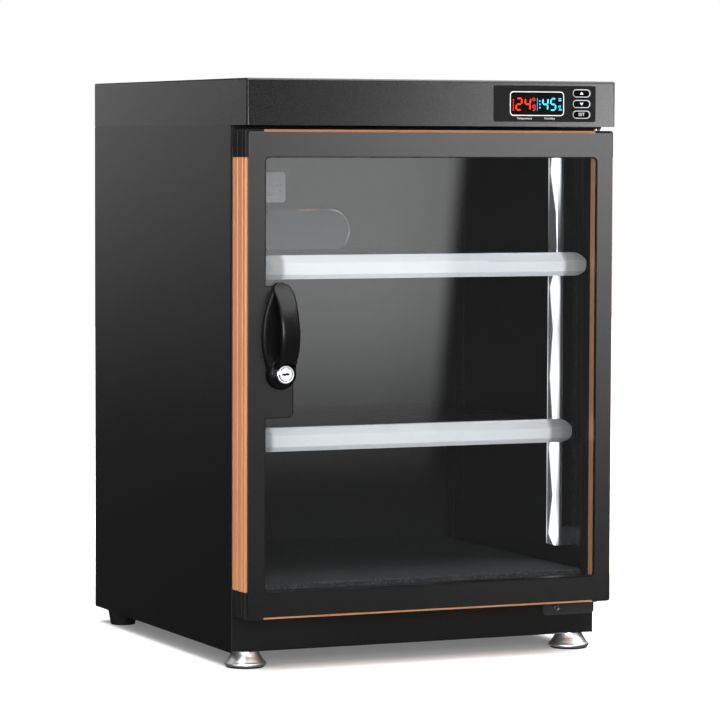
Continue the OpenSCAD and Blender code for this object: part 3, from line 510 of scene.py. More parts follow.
# %% [markdown]
# ## Flat plates from outlines
# The glass, its print and the marks on the panel are flat shapes with round corners and holes. A filled
# 2D curve makes them: each outline is one closed spline, and an outline inside another one is a hole.

# %% Cut a plate from outlines


def round_box(x0, z0, x1, z1, radius, steps=6):
    """A rectangle with round corners, as points that run anticlockwise."""
    points = []
    for cx, cz, start in ((x1, z1, 0), (x0, z1, 90), (x0, z0, 180), (x1, z0, 270)):
        sx = -1 if cx == x1 else 1
        sz = -1 if cz == z1 else 1
        for step in range(steps + 1):
            turn = math.radians(start + 90 * step / steps)
            points.append((cx + sx * radius + radius * math.cos(turn),
                           cz + sz * radius + radius * math.sin(turn)))
    return points


def ring_points(x, z, radius, count=40):
    return [(x + radius * math.cos(2 * math.pi * i / count), z + radius * math.sin(2 * math.pi * i / count))
            for i in range(count)]


def stood_up(name, drawing, place):
    """A flat curve or text made a mesh, turned upright and moved to its place."""
    maker = link(name, drawing)
    graph = bpy.context.evaluated_depsgraph_get()
    mesh = bpy.data.meshes.new_from_object(maker.evaluated_get(graph))
    bpy.data.objects.remove(maker)
    mesh.transform(Matrix.Translation(place) @ Matrix.Rotation(math.pi / 2, 4, "X"))
    return mesh


def plate(name, outlines, y, thick, material, body, rim=0.0):
    """An upright plate from y to y + thick, with its outlines drawn in X and Z."""
    curve = bpy.data.curves.new(name, "CURVE")
    curve.dimensions = "2D"
    curve.fill_mode = "BOTH"
    curve.extrude = max(thick / 2 - rim, 0.0) * MM
    curve.bevel_depth = rim * MM
    curve.bevel_resolution = 2
    curve.offset = -rim * MM
    for outline in outlines:
        spline = curve.splines.new("POLY")
        spline.points.add(len(outline) - 1)
        spline.use_cyclic_u = True
        for point, (x, z) in zip(spline.points, outline):
            point.co = (x * MM, z * MM, 0, 1)
    mesh = stood_up(name + "_outline", curve, spot(0, y + thick / 2, 0))
    mesh.name = name
    piece = link(name, mesh, material)
    shade_smooth(mesh, 30)
    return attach(piece, body)


print("plates can be cut")

# %% [markdown]
# ## The glass and its printed border
# The print runs round the edge and has a tongue at the left that hides the lock's body. The two parts of
# the sheet are separate pieces here, because each has a finish of its own.

# %% Make the glass
SIDE_PRINT, TOP_PRINT, BOTTOM_PRINT = 20.3, 27.2, 26.9
door_left, door_right = frame_low.x, -frame_low.x
door_bottom, door_top = reach("bottom_left_corner")[0].z, reach("top_left_corner")[1].z
view_x0, view_x1 = door_left + SIDE_PRINT, door_right - SIDE_PRINT
view_z0, view_z1 = door_bottom + BOTTOM_PRINT, door_top - TOP_PRINT
lock_low, lock_high = reach("lock_barrel")
lock_x, lock_z = (lock_low.x + lock_high.x) / 2, (lock_low.z + lock_high.z) / 2
handle_mid = (handle_low.z + handle_high.z) / 2
tongue_x, tongue_low = lock_x + 13.4, lock_z - 43.3
opening = round_box(view_x0, view_z0, view_x1, view_z1, 4)
low_left = [p for p in opening if p[0] < 0 and p[1] < handle_mid]
window = [p for p in opening if p not in low_left]
corner_turn = [(tongue_x - 5 * (1 - math.cos(a)), tongue_low + 5 * (1 - math.sin(a)))
               for a in (math.radians(90 - 15 * i) for i in range(7))]
tongue = [(view_x0, handle_mid + 48.5), (lock_x + 3.5, handle_mid + 47.5), (lock_x + 8.5, handle_mid + 42),
          (tongue_x, handle_mid + 24), *reversed(corner_turn), (view_x0, tongue_low)]
# The first 14 points turn the two upper corners, and the tongue follows them down the left side.
window_outline = window[:14] + tongue + low_left + window[14:]
sheet = round_box(glass_low.x, glass_low.z, glass_high.x, glass_high.z, 2)
screw_low, screw_high = reach("handle_screw")
holes = [ring_points(lock_x, lock_z, 8.1), ring_points(lock_x, (screw_low.z + screw_high.z) / 2, 2.1, 20)]
thick = glass_high.y - glass_low.y
printed = plate("printed_border", [sheet, window_outline, *holes], glass_low.y, thick, border_print,
                "door", 0.5)
plate("clear_pane", [window_outline], glass_low.y + 0.02, thick - 0.04, clear_glass, "door")
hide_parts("door_glass")


def grown(points, by):
    """The same outline with every side moved outwards by a distance."""
    moved = []
    for before, here, after in zip(points[-1:] + points[:-1], points, points[1:] + points[:1]):
        near = Vector((here[0] - before[0], here[1] - before[1])).normalized()
        far = Vector((after[0] - here[0], after[1] - here[1])).normalized()
        out = Vector((near.y + far.y, -near.x - far.x))
        out *= by / max(1 + near.dot(far), 0.4)
        moved.append((here[0] + out.x, here[1] + out.y))
    return moved


line_black = moulded("print_line", shade(0.0015), 0.5, depth=0.001)
LINE_WIDE, LINE_THICK = 1.1, 0.06
plate("window_line", [grown(window_outline, LINE_WIDE), window_outline], glass_low.y - LINE_THICK,
      LINE_THICK, line_black, "door")
print("window", round(view_x1 - view_x0, 1), "by", round(view_z1 - view_z0, 1), "mm")

# %% [markdown]
# ## Shelves
# A shelf's front rail is a white moulding with a chamfer above and below and round ends. It is the
# brightest thing in the cabinet, so its edges get a wider rounding than the steel's.

# %% Dress the shelves
for level in ("upper", "lower"):
    soften(level + "_shelf_rail", 0.5, rail_white, 2)
    soften(level + "_shelf_tray", 0.3, tray_paint)
soften("floor_mat", 1.5, mat_foam, 3)
print("two shelves and the mat are dressed")

# %% Dress the dryer and the sensor
soften("dryer_cover", 1.2, dryer_grey, 3)
soften("dryer_ring", 0.4, chrome)
soften("sensor_cover", 0.4, sensor_white)
print("dryer and sensor are dressed")

# %% [markdown]
# ## Light bar
# The bar's diffuser glows in swells, and it fades to a grey strip beside them. A ramp over the height says
# how wide the glow is, and the distance from the strip's front edge is held against it. The channel that
# holds the strip has painted light along the same edge: its own emission, shaped like the strip's glow.

# %% Mix and place the glow
bar_low, bar_high = reach("light_bar_diffuser")
strip = Finish("bar_diffuser", shade(0.45), 0.4, Emission_Strength=3.6)
bar_tall = (bar_high.z - bar_low.z) * MM
bar_deep = (bar_high.y - bar_low.y) * MM
GLOW_WIDTHS = [
    (0.0, 0.25), (0.025, 0.85), (0.12, 0.36), (0.235, 0.85), (0.27, 0.5), (0.31, 0.45), (0.405, 0.78),
    (0.52, 0.42), (0.62, 0.85), (0.66, 0.3), (0.715, 0.02), (0.80, 0.16), (0.895, 0.85), (1.0, 0.5)]


def swell(finish):
    """How wide the glow is at a point's height, as a share of the strip."""
    height = (finish.along(2) - bar_low.z * MM) * (1 / bar_tall)
    return finish.add("ShaderNodeValToRGB", {"stops": GLOW_WIDTHS}, {0: height})


width = swell(strip)
from_front = (strip.along(1) - (FRONT + bar_low.y * MM)) * (1 / bar_deep)
glow_share = 1 - from_front.smooth(width * 0.6, width * 1.1 + 0.06)
strip.put(**{"Emission Color": strip.blend(glow_share, (0.012, 0.012, 0.012, 1), (0.95, 0.98, 1.0, 1))})
bar_light = strip.material
coat(nodes["light_bar_diffuser"], bar_light)
# The channel is no lamp: its emission along the strip's edge is painted light from the strip.
channel = Finish("bar_channel", (0.20, 0.20, 0.21), 0.36, 0.3, Emission_Strength=2.6)
channel.put(Roughness=0.30 + channel.noise(1, 3, channel.place(1200, 1200, 20)) * 0.12)
edge = 1 - channel.along(0).smooth((bar_low.x + 1.0) * MM, (bar_low.x + 4.2) * MM)
painted_glow_spill = channel.blend(edge * swell(channel), (0.0, 0.0, 0.0, 1), (0.95, 0.98, 1.0, 1))
channel.put(**{"Emission Color": painted_glow_spill})
coat(nodes["light_bar_housing"], channel.material)
print("light bar", round(bar_high.z - bar_low.z), "mm tall")

# %% [markdown]
# ## Handle
# The handle is one gloss moulding: a boat-shaped base and a grip that bows out from it. Level sections,
# each a box with soft corners, are stacked from top to bottom and joined into a closed skin, which gives
# the bow and its root by a rule. A Boolean then cuts the round bore for the lock, and a bevel softens it.

# %% Loft a skin through rings


def add_rings(shell, rings, cap=True):
    """Joins rings of points, all with the same count, into one skin."""
    rows = [[shell.verts.new(point) for point in ring] for ring in rings]
    count = len(rows[0])
    for near, far in zip(rows, rows[1:]):
        for i in range(count):
            shell.faces.new((near[i], near[(i + 1) % count], far[(i + 1) % count], far[i]))
    if cap:
        shell.faces.new(list(reversed(rows[0])))
        shell.faces.new(rows[-1])


def loft(rings, cap=True):
    shell = bmesh.new()
    add_rings(shell, rings, cap)
    bmesh.ops.recalc_face_normals(shell, faces=shell.faces)
    return shell


def skin(name, shell, material, body):
    piece = settle(link(name, as_mesh(name, shell), material), 40)
    coat(piece, material)
    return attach(piece, body)


print("skins can be lofted")

# %% Make the handle
GLASS_FACE = glass_low.y
handle_x = (handle_low.x + handle_high.x) / 2
half_tall = (handle_high.z - handle_low.z) / 2
half_wide = (handle_high.x - handle_low.x) / 2
grip_out = GLASS_FACE - handle_low.y
base_end = 10.75
waist = half_tall - base_end
boat_r = (waist ** 2 + (half_wide - base_end) ** 2) / (2 * (half_wide - base_end))


def boat_half(z):
    """Half the base's width at a height from its middle."""
    if abs(z) <= waist:
        return half_wide - (boat_r - math.sqrt(boat_r ** 2 - z ** 2))
    return math.sqrt(max(base_end ** 2 - (abs(z) - waist) ** 2, 0.0))


def boat_outline(bigger, count=44):
    """The base's outline, from its top round to its top again, set in or out by a length."""
    heights = [half_tall * math.cos(math.pi * i / count) for i in range(count + 1)]
    right = [(boat_half(z), z) for z in heights]
    left = [(-x, z) for x, z in reversed(right[1:-1])]
    scale_x, scale_z = 1 + bigger / half_wide, 1 + bigger / half_tall
    return [(x * scale_x, z * scale_z) for x, z in right + left]


base_rings = []
for bigger, out in ((-0.2, 0.0), (0.0, 0.4), (0.0, 1.8), (-0.5, 2.7), (-1.6, 3.2), (-4.0, 3.5)):
    base_rings.append([spot(handle_x + x, GLASS_FACE - out, handle_mid + z) for x, z in boat_outline(bigger)])
base = skin("handle_base", loft(base_rings), handle_black, "door")
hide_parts("door_handle")

bow_r = (half_tall ** 2 + grip_out ** 2) / (2 * grip_out)
lock_drop = handle_mid - lock_z


def bow(z, radius):
    """How far out an arc of this radius stands at a height from the handle's middle."""
    return math.sqrt(max(radius ** 2 - z ** 2, 0.0)) - (bow_r - grip_out)


def ease(value):
    share = min(max(value, 0.0), 1.0)
    return share * share * (3 - 2 * share)


GRIP_THICK, BORE, LEVELS = 6.4, 11.4, 40
grip_rings = []
for i in range(LEVELS + 1):
    z = (half_tall - 0.8) * math.cos(math.pi * i / LEVELS)
    outer = max(bow(z, bow_r), 0.9)
    inner = max(bow(z, bow_r - GRIP_THICK), 0.0) * ease((z + lock_drop - 7.5) / 15)
    wide = min(9.5 + 1.0 * (z / half_tall) ** 2, boat_half(z) - 0.2)
    ring = []
    for j in range(24):
        turn = 2 * math.pi * j / 24
        x = math.copysign(abs(math.cos(turn)) ** 0.5, math.cos(turn)) * wide
        share = math.copysign(abs(math.sin(turn)) ** 0.62, math.sin(turn))
        out = (outer + inner) / 2 + share * (outer - inner) / 2
        ring.append(spot(handle_x + x, GLASS_FACE - out, handle_mid + z))
    grip_rings.append(ring)
grip = link("handle_grip", as_mesh("handle_grip", loft(grip_rings)), handle_black)
bore_circle = ring_points(lock_x, lock_z, BORE, 48)
bore_rings = [[spot(x, GLASS_FACE - out, z) for x, z in bore_circle] for out in (5.5, 40)]
bore = link("lock_bore", as_mesh("lock_bore", loft(bore_rings)))
cut = grip.modifiers.new("bore", "BOOLEAN")
cut.object = bore
cut.solver = "EXACT"
settle(bevel(grip, 0.8, 3, 50), 50)
bpy.data.objects.remove(bore)
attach(grip, "door")
print("handle", round(2 * half_tall), "mm tall and", round(grip_out), "mm out")

# %% [markdown]
# ## Lock
# The lock is a chrome barrel in a black boss. Both are turned shapes, so their outlines are spun round
# the lock's axis. The plug with its key slot is the solid with softer edges.

# %% Spin an outline


def turned(name, outline, x, z, material, body, steps=48):
    """Spins (radius, y) points round an axis that runs front to back at x and z."""
    rings = [[spot(px, y, pz) for px, pz in ring_points(x, z, r, steps)] for r, y in outline]
    rings.append(rings[0])
    shell = loft(rings, cap=False)
    bmesh.ops.remove_doubles(shell, verts=shell.verts, dist=0.001 * MM)
    bmesh.ops.recalc_face_normals(shell, faces=shell.faces)
    return skin(name, shell, material, body)


lock_face = lock_low.y
boss = [(r, GLASS_FACE - out) for r, out in (
    (9.6, 0.2), (15.6, 0.2), (15.4, 2.6), (14.2, 5.2), (12.9, 6.6), (11.9, 7.0), (10.6, 6.6), (9.6, 5.6))]
turned("lock_boss", boss, lock_x, lock_z, handle_black, "door")
head = [(6.5, lock_high.y), (7.9, lock_high.y), (7.9, GLASS_FACE), (9.4, GLASS_FACE - 0.2)]
head += [(r, lock_face + deep) for r, deep in (
    (9.4, 1.2), (9.1, 0.5), (8.4, 0.0), (7.3, 0.1), (6.9, 0.7), (6.5, 0.9))]
barrel = turned("lock_head", head, lock_x, lock_z, chrome, "door")
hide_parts("lock_barrel")
soften("lock_plug", 0.2, chrome)
print("lock axis", round(lock_x, 1), round(lock_z, 1))

# %% [markdown]
# ## Feet
# The front feet are turned aluminium cones with a rolled rim on a black pad. The rear ones are plain
# rubber. Both are spun about an upright axis.

# %% Turn the feet


def pair_of_feet(name, node, outline, material, steps=56):
    """Spins (radius, height) points round two upright axes."""
    low, high = reach(node)
    wide, y = max(r for r, z in outline), (low.y + high.y) / 2
    shell = bmesh.new()
    for x in (low.x + wide, high.x - wide):
        add_rings(shell, [[spot(px, py, z) for px, py in ring_points(x, y, r, steps)] for r, z in outline])
    bmesh.ops.recalc_face_normals(shell, faces=shell.faces)
    piece = skin(name, shell, material, "cabinet")
    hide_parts(node)


pair_of_feet("turned_feet", "front_feet", [
    (18.2, 1.5), (19.6, 1.7), (20.5, 2.4), (20.8, 3.4), (20.6, 4.5), (19.9, 5.2), (18.9, 5.7), (18.6, 6.1),
    (18.2, 6.6), (15.6, 10.9), (15.3, 11.2), (15.0, 11.9), (14.8, 12.2), (13.3, 15.2), (13.2, 16.0),
], foot_metal)
pair_of_feet("foot_pads", "front_foot_pads", [(17.9, 0.0), (18.6, 0.3), (18.8, 0.8), (18.8, 1.5)], pad_rubber)
pair_of_feet("rubber_feet", "rear_feet", [
    (12.2, 0.0), (12.8, 0.25), (13.0, 0.9), (14.3, 7.0), (15.8, 15.2), (16.0, 16.0)], foot_rubber)
print("four feet are turned")

# %% [markdown]
# ## Rear screws by Geometry Nodes
# Eight pan-head screws hold the back panel. They repeat, so a Geometry Nodes tree instances one head on
# a grid of points. The grid's sizes are inputs of the tree, set by their identifiers, and the tree ends in
# Realize Instances and Set Material, because the export drops instances.

# %% Build the screw tree


def new_tree(name, inputs):
    tree = bpy.data.node_groups.new(name, "GeometryNodeTree")
    for label, kind, default in inputs:
        entry = tree.interface.new_socket(label, in_out="INPUT", socket_type=kind)
        if default is not None:
            entry.default_value = default
    tree.interface.new_socket("Geometry", in_out="OUTPUT", socket_type="NodeSocketGeometry")
    web = Web(tree)
    entry = tree.nodes.new("NodeGroupInput")
    wires = {socket.name: Wire(web, socket) for socket in entry.outputs if socket.name}
    return tree, web, wires


def finish_tree(tree, web, shape, material):
    real = web.add("GeometryNodeRealizeInstances", None, {"Geometry": shape})
    dressed = web.add("GeometryNodeSetMaterial", None, {"Geometry": real, "Material": material})
    end = tree.nodes.new("NodeGroupOutput")
    tree.links.new(dressed.socket, end.inputs["Geometry"])


def grow(name, tree, values, material, body, source=None):
    """Runs a tree on a piece, keeps the result as a plain mesh and lets it ride on a body."""
    piece = link(name, source or bpy.data.meshes.new(name))
    runner = piece.modifiers.new("grow", "NODES")
    runner.node_group = tree
    for item in tree.interface.items_tree:
        if item.in_out == "INPUT" and item.name in values:
            runner[item.identifier] = values[item.name]
    settle(piece, 40)
    coat(piece, material)
    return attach(piece, body)


def screw_head():
    """One pan head at the origin that points along Y, with its cross recess and washer face."""
    outline = [(4.2, 0.0), (4.2, 0.35), (3.8, 0.4), (3.7, 1.0), (3.2, 1.55), (2.4, 1.85), (1.9, 1.95)]
    circle = ring_points(0, 0, 1, 24)
    rings = [[Vector((r * x, y, r * z)) * MM for x, z in circle] for r, y in outline]
    cross = (1.75, 1.45, 0.75, 0.75, 0.75, 1.45) * 4
    for deep, share in ((1.95, 1.0), (1.2, 0.75)):
        rings.append([Vector((share * r * x, deep, share * r * z)) * MM for r, (x, z) in zip(cross, circle)])
    return as_mesh("screw_head", loft(rings))


tree, web, wire = new_tree("rows_of_screws", [
    ("Head", "NodeSocketObject", None), ("Width", "NodeSocketFloat", 0.3), ("Height", "NodeSocketFloat", 0.4),
    ("Rows", "NodeSocketInt", 4), ("Place", "NodeSocketVector", (0, 0, 0))])
grid = web.add("GeometryNodeMeshGrid", None, {
    "Size X": wire["Width"], "Size Y": wire["Height"], "Vertices X": 2, "Vertices Y": wire["Rows"]})
upright = web.add("GeometryNodeTransform", None, {
    "Geometry": grid, "Translation": wire["Place"], "Rotation": (math.pi / 2, 0, 0)})
head_shape = web.add("GeometryNodeObjectInfo", None, {"Object": wire["Head"]}, out=4)
spread = web.add("GeometryNodeInstanceOnPoints", None, {"Points": upright, "Instance": head_shape})
finish_tree(tree, web, spread, zinc)
head_maker = link("one_screw_head", screw_head())
back_low, back_high = reach("back_screws")
back_face = reach("back_panel")[1].y
screws = grow("back_screw_heads", tree, {
    "Head": head_maker, "Width": (back_high.x - back_low.x - 7.6) * MM,
    "Height": (back_high.z - back_low.z - 7.6) * MM, "Rows": 4,
    "Place": spot(0, back_face, (back_low.z + back_high.z) / 2)}, zinc, "cabinet")
bpy.data.objects.remove(head_maker)
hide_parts("back_screws")
print("screw heads:", len(screws.data.polygons), "faces")

# %% [markdown]
# ## Light chips by Geometry Nodes
# Behind the bar's diffuser sits a row of light chips. They are all alike and evenly spaced, so a line of
# points carries one small chip each, just under the strip.

# %% Build the row of chips
CHIP_STEP = 16.6
tree, web, wire = new_tree("row_of_chips", [
    ("Start", "NodeSocketVector", (0, 0, 0)), ("Step", "NodeSocketVector", (0, 0, 0.017)),
    ("Count", "NodeSocketInt", 20), ("Chip", "NodeSocketVector", (0.001, 0.005, 0.005))])
line = web.add("GeometryNodeMeshLine", None, {
    "Count": wire["Count"], "Start Location": wire["Start"], "Offset": wire["Step"]})
chip = web.add("GeometryNodeMeshCube", None, {"Size": wire["Chip"]})
chips = web.add("GeometryNodeInstanceOnPoints", None, {"Points": line, "Instance": chip})
finish_tree(tree, web, chips, bar_light)
chip_count = int((bar_high.z - bar_low.z - 10) / CHIP_STEP)
grow("light_chips", tree, {
    "Start": spot(bar_low.x + 2.6, (bar_low.y + bar_high.y) / 2, bar_low.z + 8),
    "Step": Vector((0, 0, CHIP_STEP * MM)), "Count": chip_count,
    "Chip": Vector((1.0, 5.0, 5.0)) * MM}, bar_light, "cabinet")
print("light chips:", chip_count)

# %% [markdown]
# ## Control panel
# The panel in the cap has a smoked display with a printed outline, a red and a blue number, and three
# oval buttons with real silver rims, whose pale colour is a painted reflection of the chrome and whose
# wider right side is a painted highlight. Seven-segment numbers are built from bars with pointed ends.

# %% Dress the panel's solids
soften("control_bezel", 0.35, bezel_black)
soften("display_window", 0.25, smoked)
for node in ("up_button", "down_button", "set_button"):
    soften(node, 0.35, button_black, 3)
print("panel and buttons are dressed")

# %% Print the display
FACE = window_low.y
PRINT = 0.08
SEGMENTS = {"2": "abged", "4": "fgbc", "5": "afgcd", "9": "abcdfg"}


def bar_outline(x, z, long, wide, upright):
    half, tip = wide / 2, wide / 2
    flat = [(-long / 2, 0), (-long / 2 + tip, half), (long / 2 - tip, half), (long / 2, 0),
            (long / 2 - tip, -half), (-long / 2 + tip, -half)]
    return [(x + (b if upright else a), z + (a if upright else b)) for a, b in flat]


def digit(mark, x, z, wide, tall, bar):
    """The bars of one seven-segment digit whose middle is at x and z."""
    long_x, long_z = wide - bar * 0.6, tall / 2 - bar * 0.4
    places = {"a": (0, tall / 2, False), "g": (0, 0, False), "d": (0, -tall / 2, False),
              "f": (-wide / 2, tall / 4, True), "b": (wide / 2, tall / 4, True),
              "e": (-wide / 2, -tall / 4, True), "c": (wide / 2, -tall / 4, True)}
    lean = 0.06
    shapes = []
    for name in SEGMENTS[mark]:
        dx, dz, up = places[name]
        bars = bar_outline(dx, dz, (long_z if up else long_x) - 0.25, bar, up)
        shapes.append([(x + px + lean * pz, z + pz) for px, pz in bars])
    return shapes


win_x, win_z = (window_low.x + window_high.x) / 2, (window_low.z + window_high.z) / 2
half_w, half_h = (window_high.x - window_low.x) / 2, (window_high.z - window_low.z) / 2
BIG = (5.6, 11.4, 1.45)
SMALL = (2.9, 5.4, 1.0)


def on_window(name, shapes, material):
    """A flat print on the display's window."""
    plate(name, shapes, FACE - PRINT, PRINT, material, "cabinet")


def block(x0, z0, x1, z1, radius=0.2, steps=1):
    """A box whose sides are measured from the window's middle."""
    return round_box(win_x + x0, win_z + z0, win_x + x1, win_z + z1, radius, steps)


def dots(x, places, size):
    """Small squares one above the other."""
    return [block(x - size / 2, z - size / 2, x + size / 2, z + size / 2) for z in places]


def disc(x, z, radius, count):
    return ring_points(win_x + x, win_z + z, radius, count)


def figure(mark, x, z, size):
    return digit(mark, win_x + x, win_z + z, *size)


outer = block(-half_w, -half_h, half_w, half_h, 3.9, 6)
inner = block(0.9 - half_w, 0.9 - half_h, half_w - 0.9, half_h - 0.9, 3.1, 6)
on_window("display_outline", [outer, inner], print_white)
on_window("temperature_digits", figure("2", -20.05, -0.6, BIG) + figure("4", -10.35, -0.6, BIG), red_digit)
red_dots = dots(-26.3, (3.6, 0.9, -1.8, -4.5, -6.6), 1.2)
on_window("temperature_tenths", figure("9", -3.4, -4.1, SMALL) + red_dots, red_dim)
on_window("degree_sign", [disc(-3.6, 4.2, 1.6, 18), disc(-3.6, 4.2, 1.0, 18)], red_dim)
on_window("humidity_digits", figure("4", 9.15, -0.6, BIG) + figure("5", 18.0, -0.6, BIG), blue_digit)
slash = [(win_x + x, win_z + z) for x, z in ((24.1, -6.9), (24.9, -6.9), (26.9, -1.6), (26.1, -1.6))]
percent = [disc(24.4, -2.6, 0.95, 14), disc(26.6, -5.9, 0.95, 14), slash]
bars = [block(23.8, 2.6, 27.2, 3.8), block(23.8, 4.6, 27.2, 5.6)]
divider = block(0.1, -6.9, 0.5, 5.7, 0.1)
on_window("percent_sign", [*percent, *bars, *dots(3.1, (2.6, -0.6, -4.0), 1.5), divider], blue_dim)
print("display is printed")

# %% Rim and mark the buttons
# The rims are real; their pale silver colour is a painted reflection standing in for the chrome's.
rim_silver = moulded("rim_silver", (0.50, 0.51, 0.53), 0.28, depth=0.002, Metallic=0.3)


def oval(x, z, long, tall, steps=12):
    r = tall / 2
    turns = [math.radians(-90 + 180 * i / steps) for i in range(steps + 1)]
    right = [(x + long / 2 - r + r * math.cos(a), z + r * math.sin(a)) for a in turns]
    left = [(x - long / 2 + r - r * math.cos(a), z - r * math.sin(a)) for a in turns]
    return right + left


def label(name, words, size, x, z, y, material, body, slot):
    """Plain words as a thin flat mesh."""
    text = bpy.data.curves.new(name, "FONT")
    text.body = words
    text.size = size * MM
    text.align_x, text.align_y = "CENTER", "CENTER"
    text.extrude = PRINT / 2 * MM
    piece = link(name, stood_up(name + "_words", text, spot(x, y - PRINT / 2, z)), material)
    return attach(piece, body)


for node, mark in (("up_button", 1), ("down_button", -1), ("set_button", 0)):
    low, high = reach(node)
    x, z = (low.x + high.x) / 2, (low.z + high.z) / 2
    long, tall = high.x - low.x - 2.0, high.z - low.z - 2.0
    name = node.split("_")[0]
    # The inner outline sits left of the middle and a little low, so the rim is wider on the right: a painted
    # highlight.
    outlines = [oval(x, z, long - 0.2, tall - 0.2), oval(x - 0.35, z - 0.1, long - 2.2, tall - 1.9)]
    plate(name + "_rim", outlines, low.y - 0.3, 0.6, rim_silver, node, 0.25)
    if mark:
        arrow = [(x - 2.1, z - 1.2 * mark), (x + 2.1, z - 1.2 * mark), (x, z + 1.7 * mark)]
        plate(name + "_arrow", [arrow], low.y - PRINT, PRINT, print_white, node)
# The set button came last, so x, z and low are its own here.
label("set_word", "SET", 4.6, x, z, low.y, print_white, "set_button", "button_plastic")
label("temperature_word", "Temperature", 3.1, win_x - 14, win_z - half_h - 2.5, FACE, print_white, "cabinet",
      "panel_plastic")
label("humidity_word", "Humidity", 3.1, win_x + 14, win_z - half_h - 2.5, FACE, print_white, "cabinet",
      "panel_plastic")
print("buttons are marked")

# %% [markdown]
# ## Camera
# The view is from the left, a little above and nearly four metres away, so that level edges converge only
# a little. The place and turn were worked out from the straight edges of the cabinet.

# %% Set the camera
view = bpy.data.cameras.new("camera")
view.lens = 179.2
view.sensor_width = 36
view.clip_end = 100
camera = link("camera", view)
stand = Vector((-1.5023, -3.40315, 0.5159))
yaw, pitch, roll = (math.radians(a) for a in (23.968, 3.47, 0.192))
look = Vector((math.sin(yaw) * math.cos(pitch), math.cos(yaw) * math.cos(pitch), -math.sin(pitch)))
right = Vector((math.cos(yaw), -math.sin(yaw), 0))
up = right.cross(look)
right, up = right * math.cos(roll) + up * math.sin(roll), up * math.cos(roll) - right * math.sin(roll)
turn = Matrix((right, up, -look)).transposed().to_4x4()
camera.matrix_world = Matrix.Translation(stand) @ turn
bpy.context.scene.camera = camera
print("camera at", [round(v, 3) for v in camera.location])

# %% [markdown]
# ## Studio
# A pale floor, a broad light overhead for the soft shadow, and softboxes round the cabinet. Some light only
# the pieces that are named with them, as a small lamp held close would. The floor's own faint glow,
# which only the camera sees, keeps the shadow from going black and the far floor white.

# %% Build the floor and the sky
floor_shell = bmesh.new()
bmesh.ops.create_grid(floor_shell, x_segments=1, y_segments=1, size=6)
floor_paint = Finish("pale_floor", shade(0.93), 0.9, Specular_IOR_Level=0.0)
seen = floor_paint.add("ShaderNodeLightPath", out=0)
from_middle = floor_paint.add(
    "ShaderNodeVectorMath", {"operation": "LENGTH"}, {0: floor_paint.place()}, out=1)
far = from_middle.smooth(0.45, 1.3)
floor_paint.put(**{"Emission Color": (1, 1, 1, 1), "Emission Strength": (far * 1.04 + 0.16) * seen})
floor = link("floor", as_mesh("floor", floor_shell), floor_paint.material)
floor.location.z = -0.0002
floor.visible_glossy = False

world = bpy.data.worlds.new("studio")
world.use_nodes = True
bpy.context.scene.world = world
sky = Web(world.node_tree)
world.node_tree.nodes.clear()
ray = sky.add("ShaderNodeLightPath", out=0)
direction = sky.add("ShaderNodeTexCoord", out=0)
height = sky.add("ShaderNodeSeparateXYZ", None, {0: direction}, out=2)
sky_level = 0.03 + height.smooth(0.2, 0.9) * 0.38 + (0 - height).smooth(0.3, 0.9) * 0.08
level = sky_level * (1 - ray) + ray * 1.0
back = sky.add("ShaderNodeBackground", None, {"Color": (1, 1, 1, 1), "Strength": level})
sky.add("ShaderNodeOutputWorld", None, {"Surface": back})
print("floor and sky are built")

# %% Place the softboxes


def only_on(lamp, names):
    """Lets a lamp or card light only the named pieces."""
    lit = bpy.data.collections.new("lit_by_" + lamp.name)
    for name in names:
        lit.objects.link(bpy.data.objects[name])
    lamp.light_linking.receiver_collection = lit


def softbox(name, place, aim, width, height, power, receivers=()):
    lamp = bpy.data.lights.new(name, "AREA")
    lamp.shape = "RECTANGLE"
    lamp.size, lamp.size_y = width, height
    lamp.energy = power
    box = link(name, lamp)
    box.location = place
    box.rotation_euler = (Vector(aim) - Vector(place)).to_track_quat("-Z", "Y").to_euler()
    box.visible_camera = False
    if receivers:
        only_on(box, receivers)


SHELF_PIECES = ("soft_upper_shelf_rail", "soft_lower_shelf_rail", "soft_sensor_cover", "soft_dryer_cover",
                "handle_grip")
PROFILES = ("soft_left_profile", "soft_right_profile", "soft_top_profile", "soft_bottom_profile")
# Each row gives a name, a place, an aim, a width, a height, watts and the pieces that it lights, if not all.
for setting in (
    ("overhead", (0.4, -0.3, 2.6), (0, 0, 0), 4.2, 4.2, 230),
    ("right_card", (1.45, -1.55, 1.15), (0.1, -0.1, 0.4), 0.8, 1.2, 3),
    ("left_card", (-1.9, 1.5, 1.55), (-0.2, 0.0, 0.35), 1.0, 0.8, 2),
    ("front_fill", (-1.2, -3.6, 0.9), (0, 0, 0.3), 1.8, 1.4, 60),
    ("shelf_light", (-0.9, -3.2, 0.9), (0, 0, 0.3), 1.2, 1.0, 70, SHELF_PIECES),
    ("foot_light", (-1.5, -3.0, 0.40), (0, -0.1, 0.0), 0.7, 0.7, 100, ("turned_feet", "lock_head")),
    ("lip_light", (-2.3, -2.6, 0.6), (0.18, -0.2, 0.3), 1.0, 1.0, 150, ("soft_right_profile",)),
    ("copper_light", (-2.3, -2.6, 0.6), (0, 0, 0.3), 1.2, 1.6, 44, PROFILES),
    ("edge_strip", (-2.4, -1.25, 0.55), (-0.2, -0.16, 0.35), 0.22, 1.8, 8),
):
    softbox(*setting)
    print("softbox", setting[0], setting[5], "W")
bpy.context.scene.view_settings.view_transform = "Standard"

# %% [markdown]
# ## Cards for the dark faces
# A dark glossy face is drawn by what it mirrors, so five glowing cards hang where the faces mirror them.
# Four hang in front: one gives the clear glass its slanted haze, one lights the printed border towards its
# top right, one the cap towards its right, and one the lock. The fifth hangs behind, for the left faces.
# Each card shows only in its own pieces, and its clear shader lets the cards behind it shine through.

# %% Hang the cards


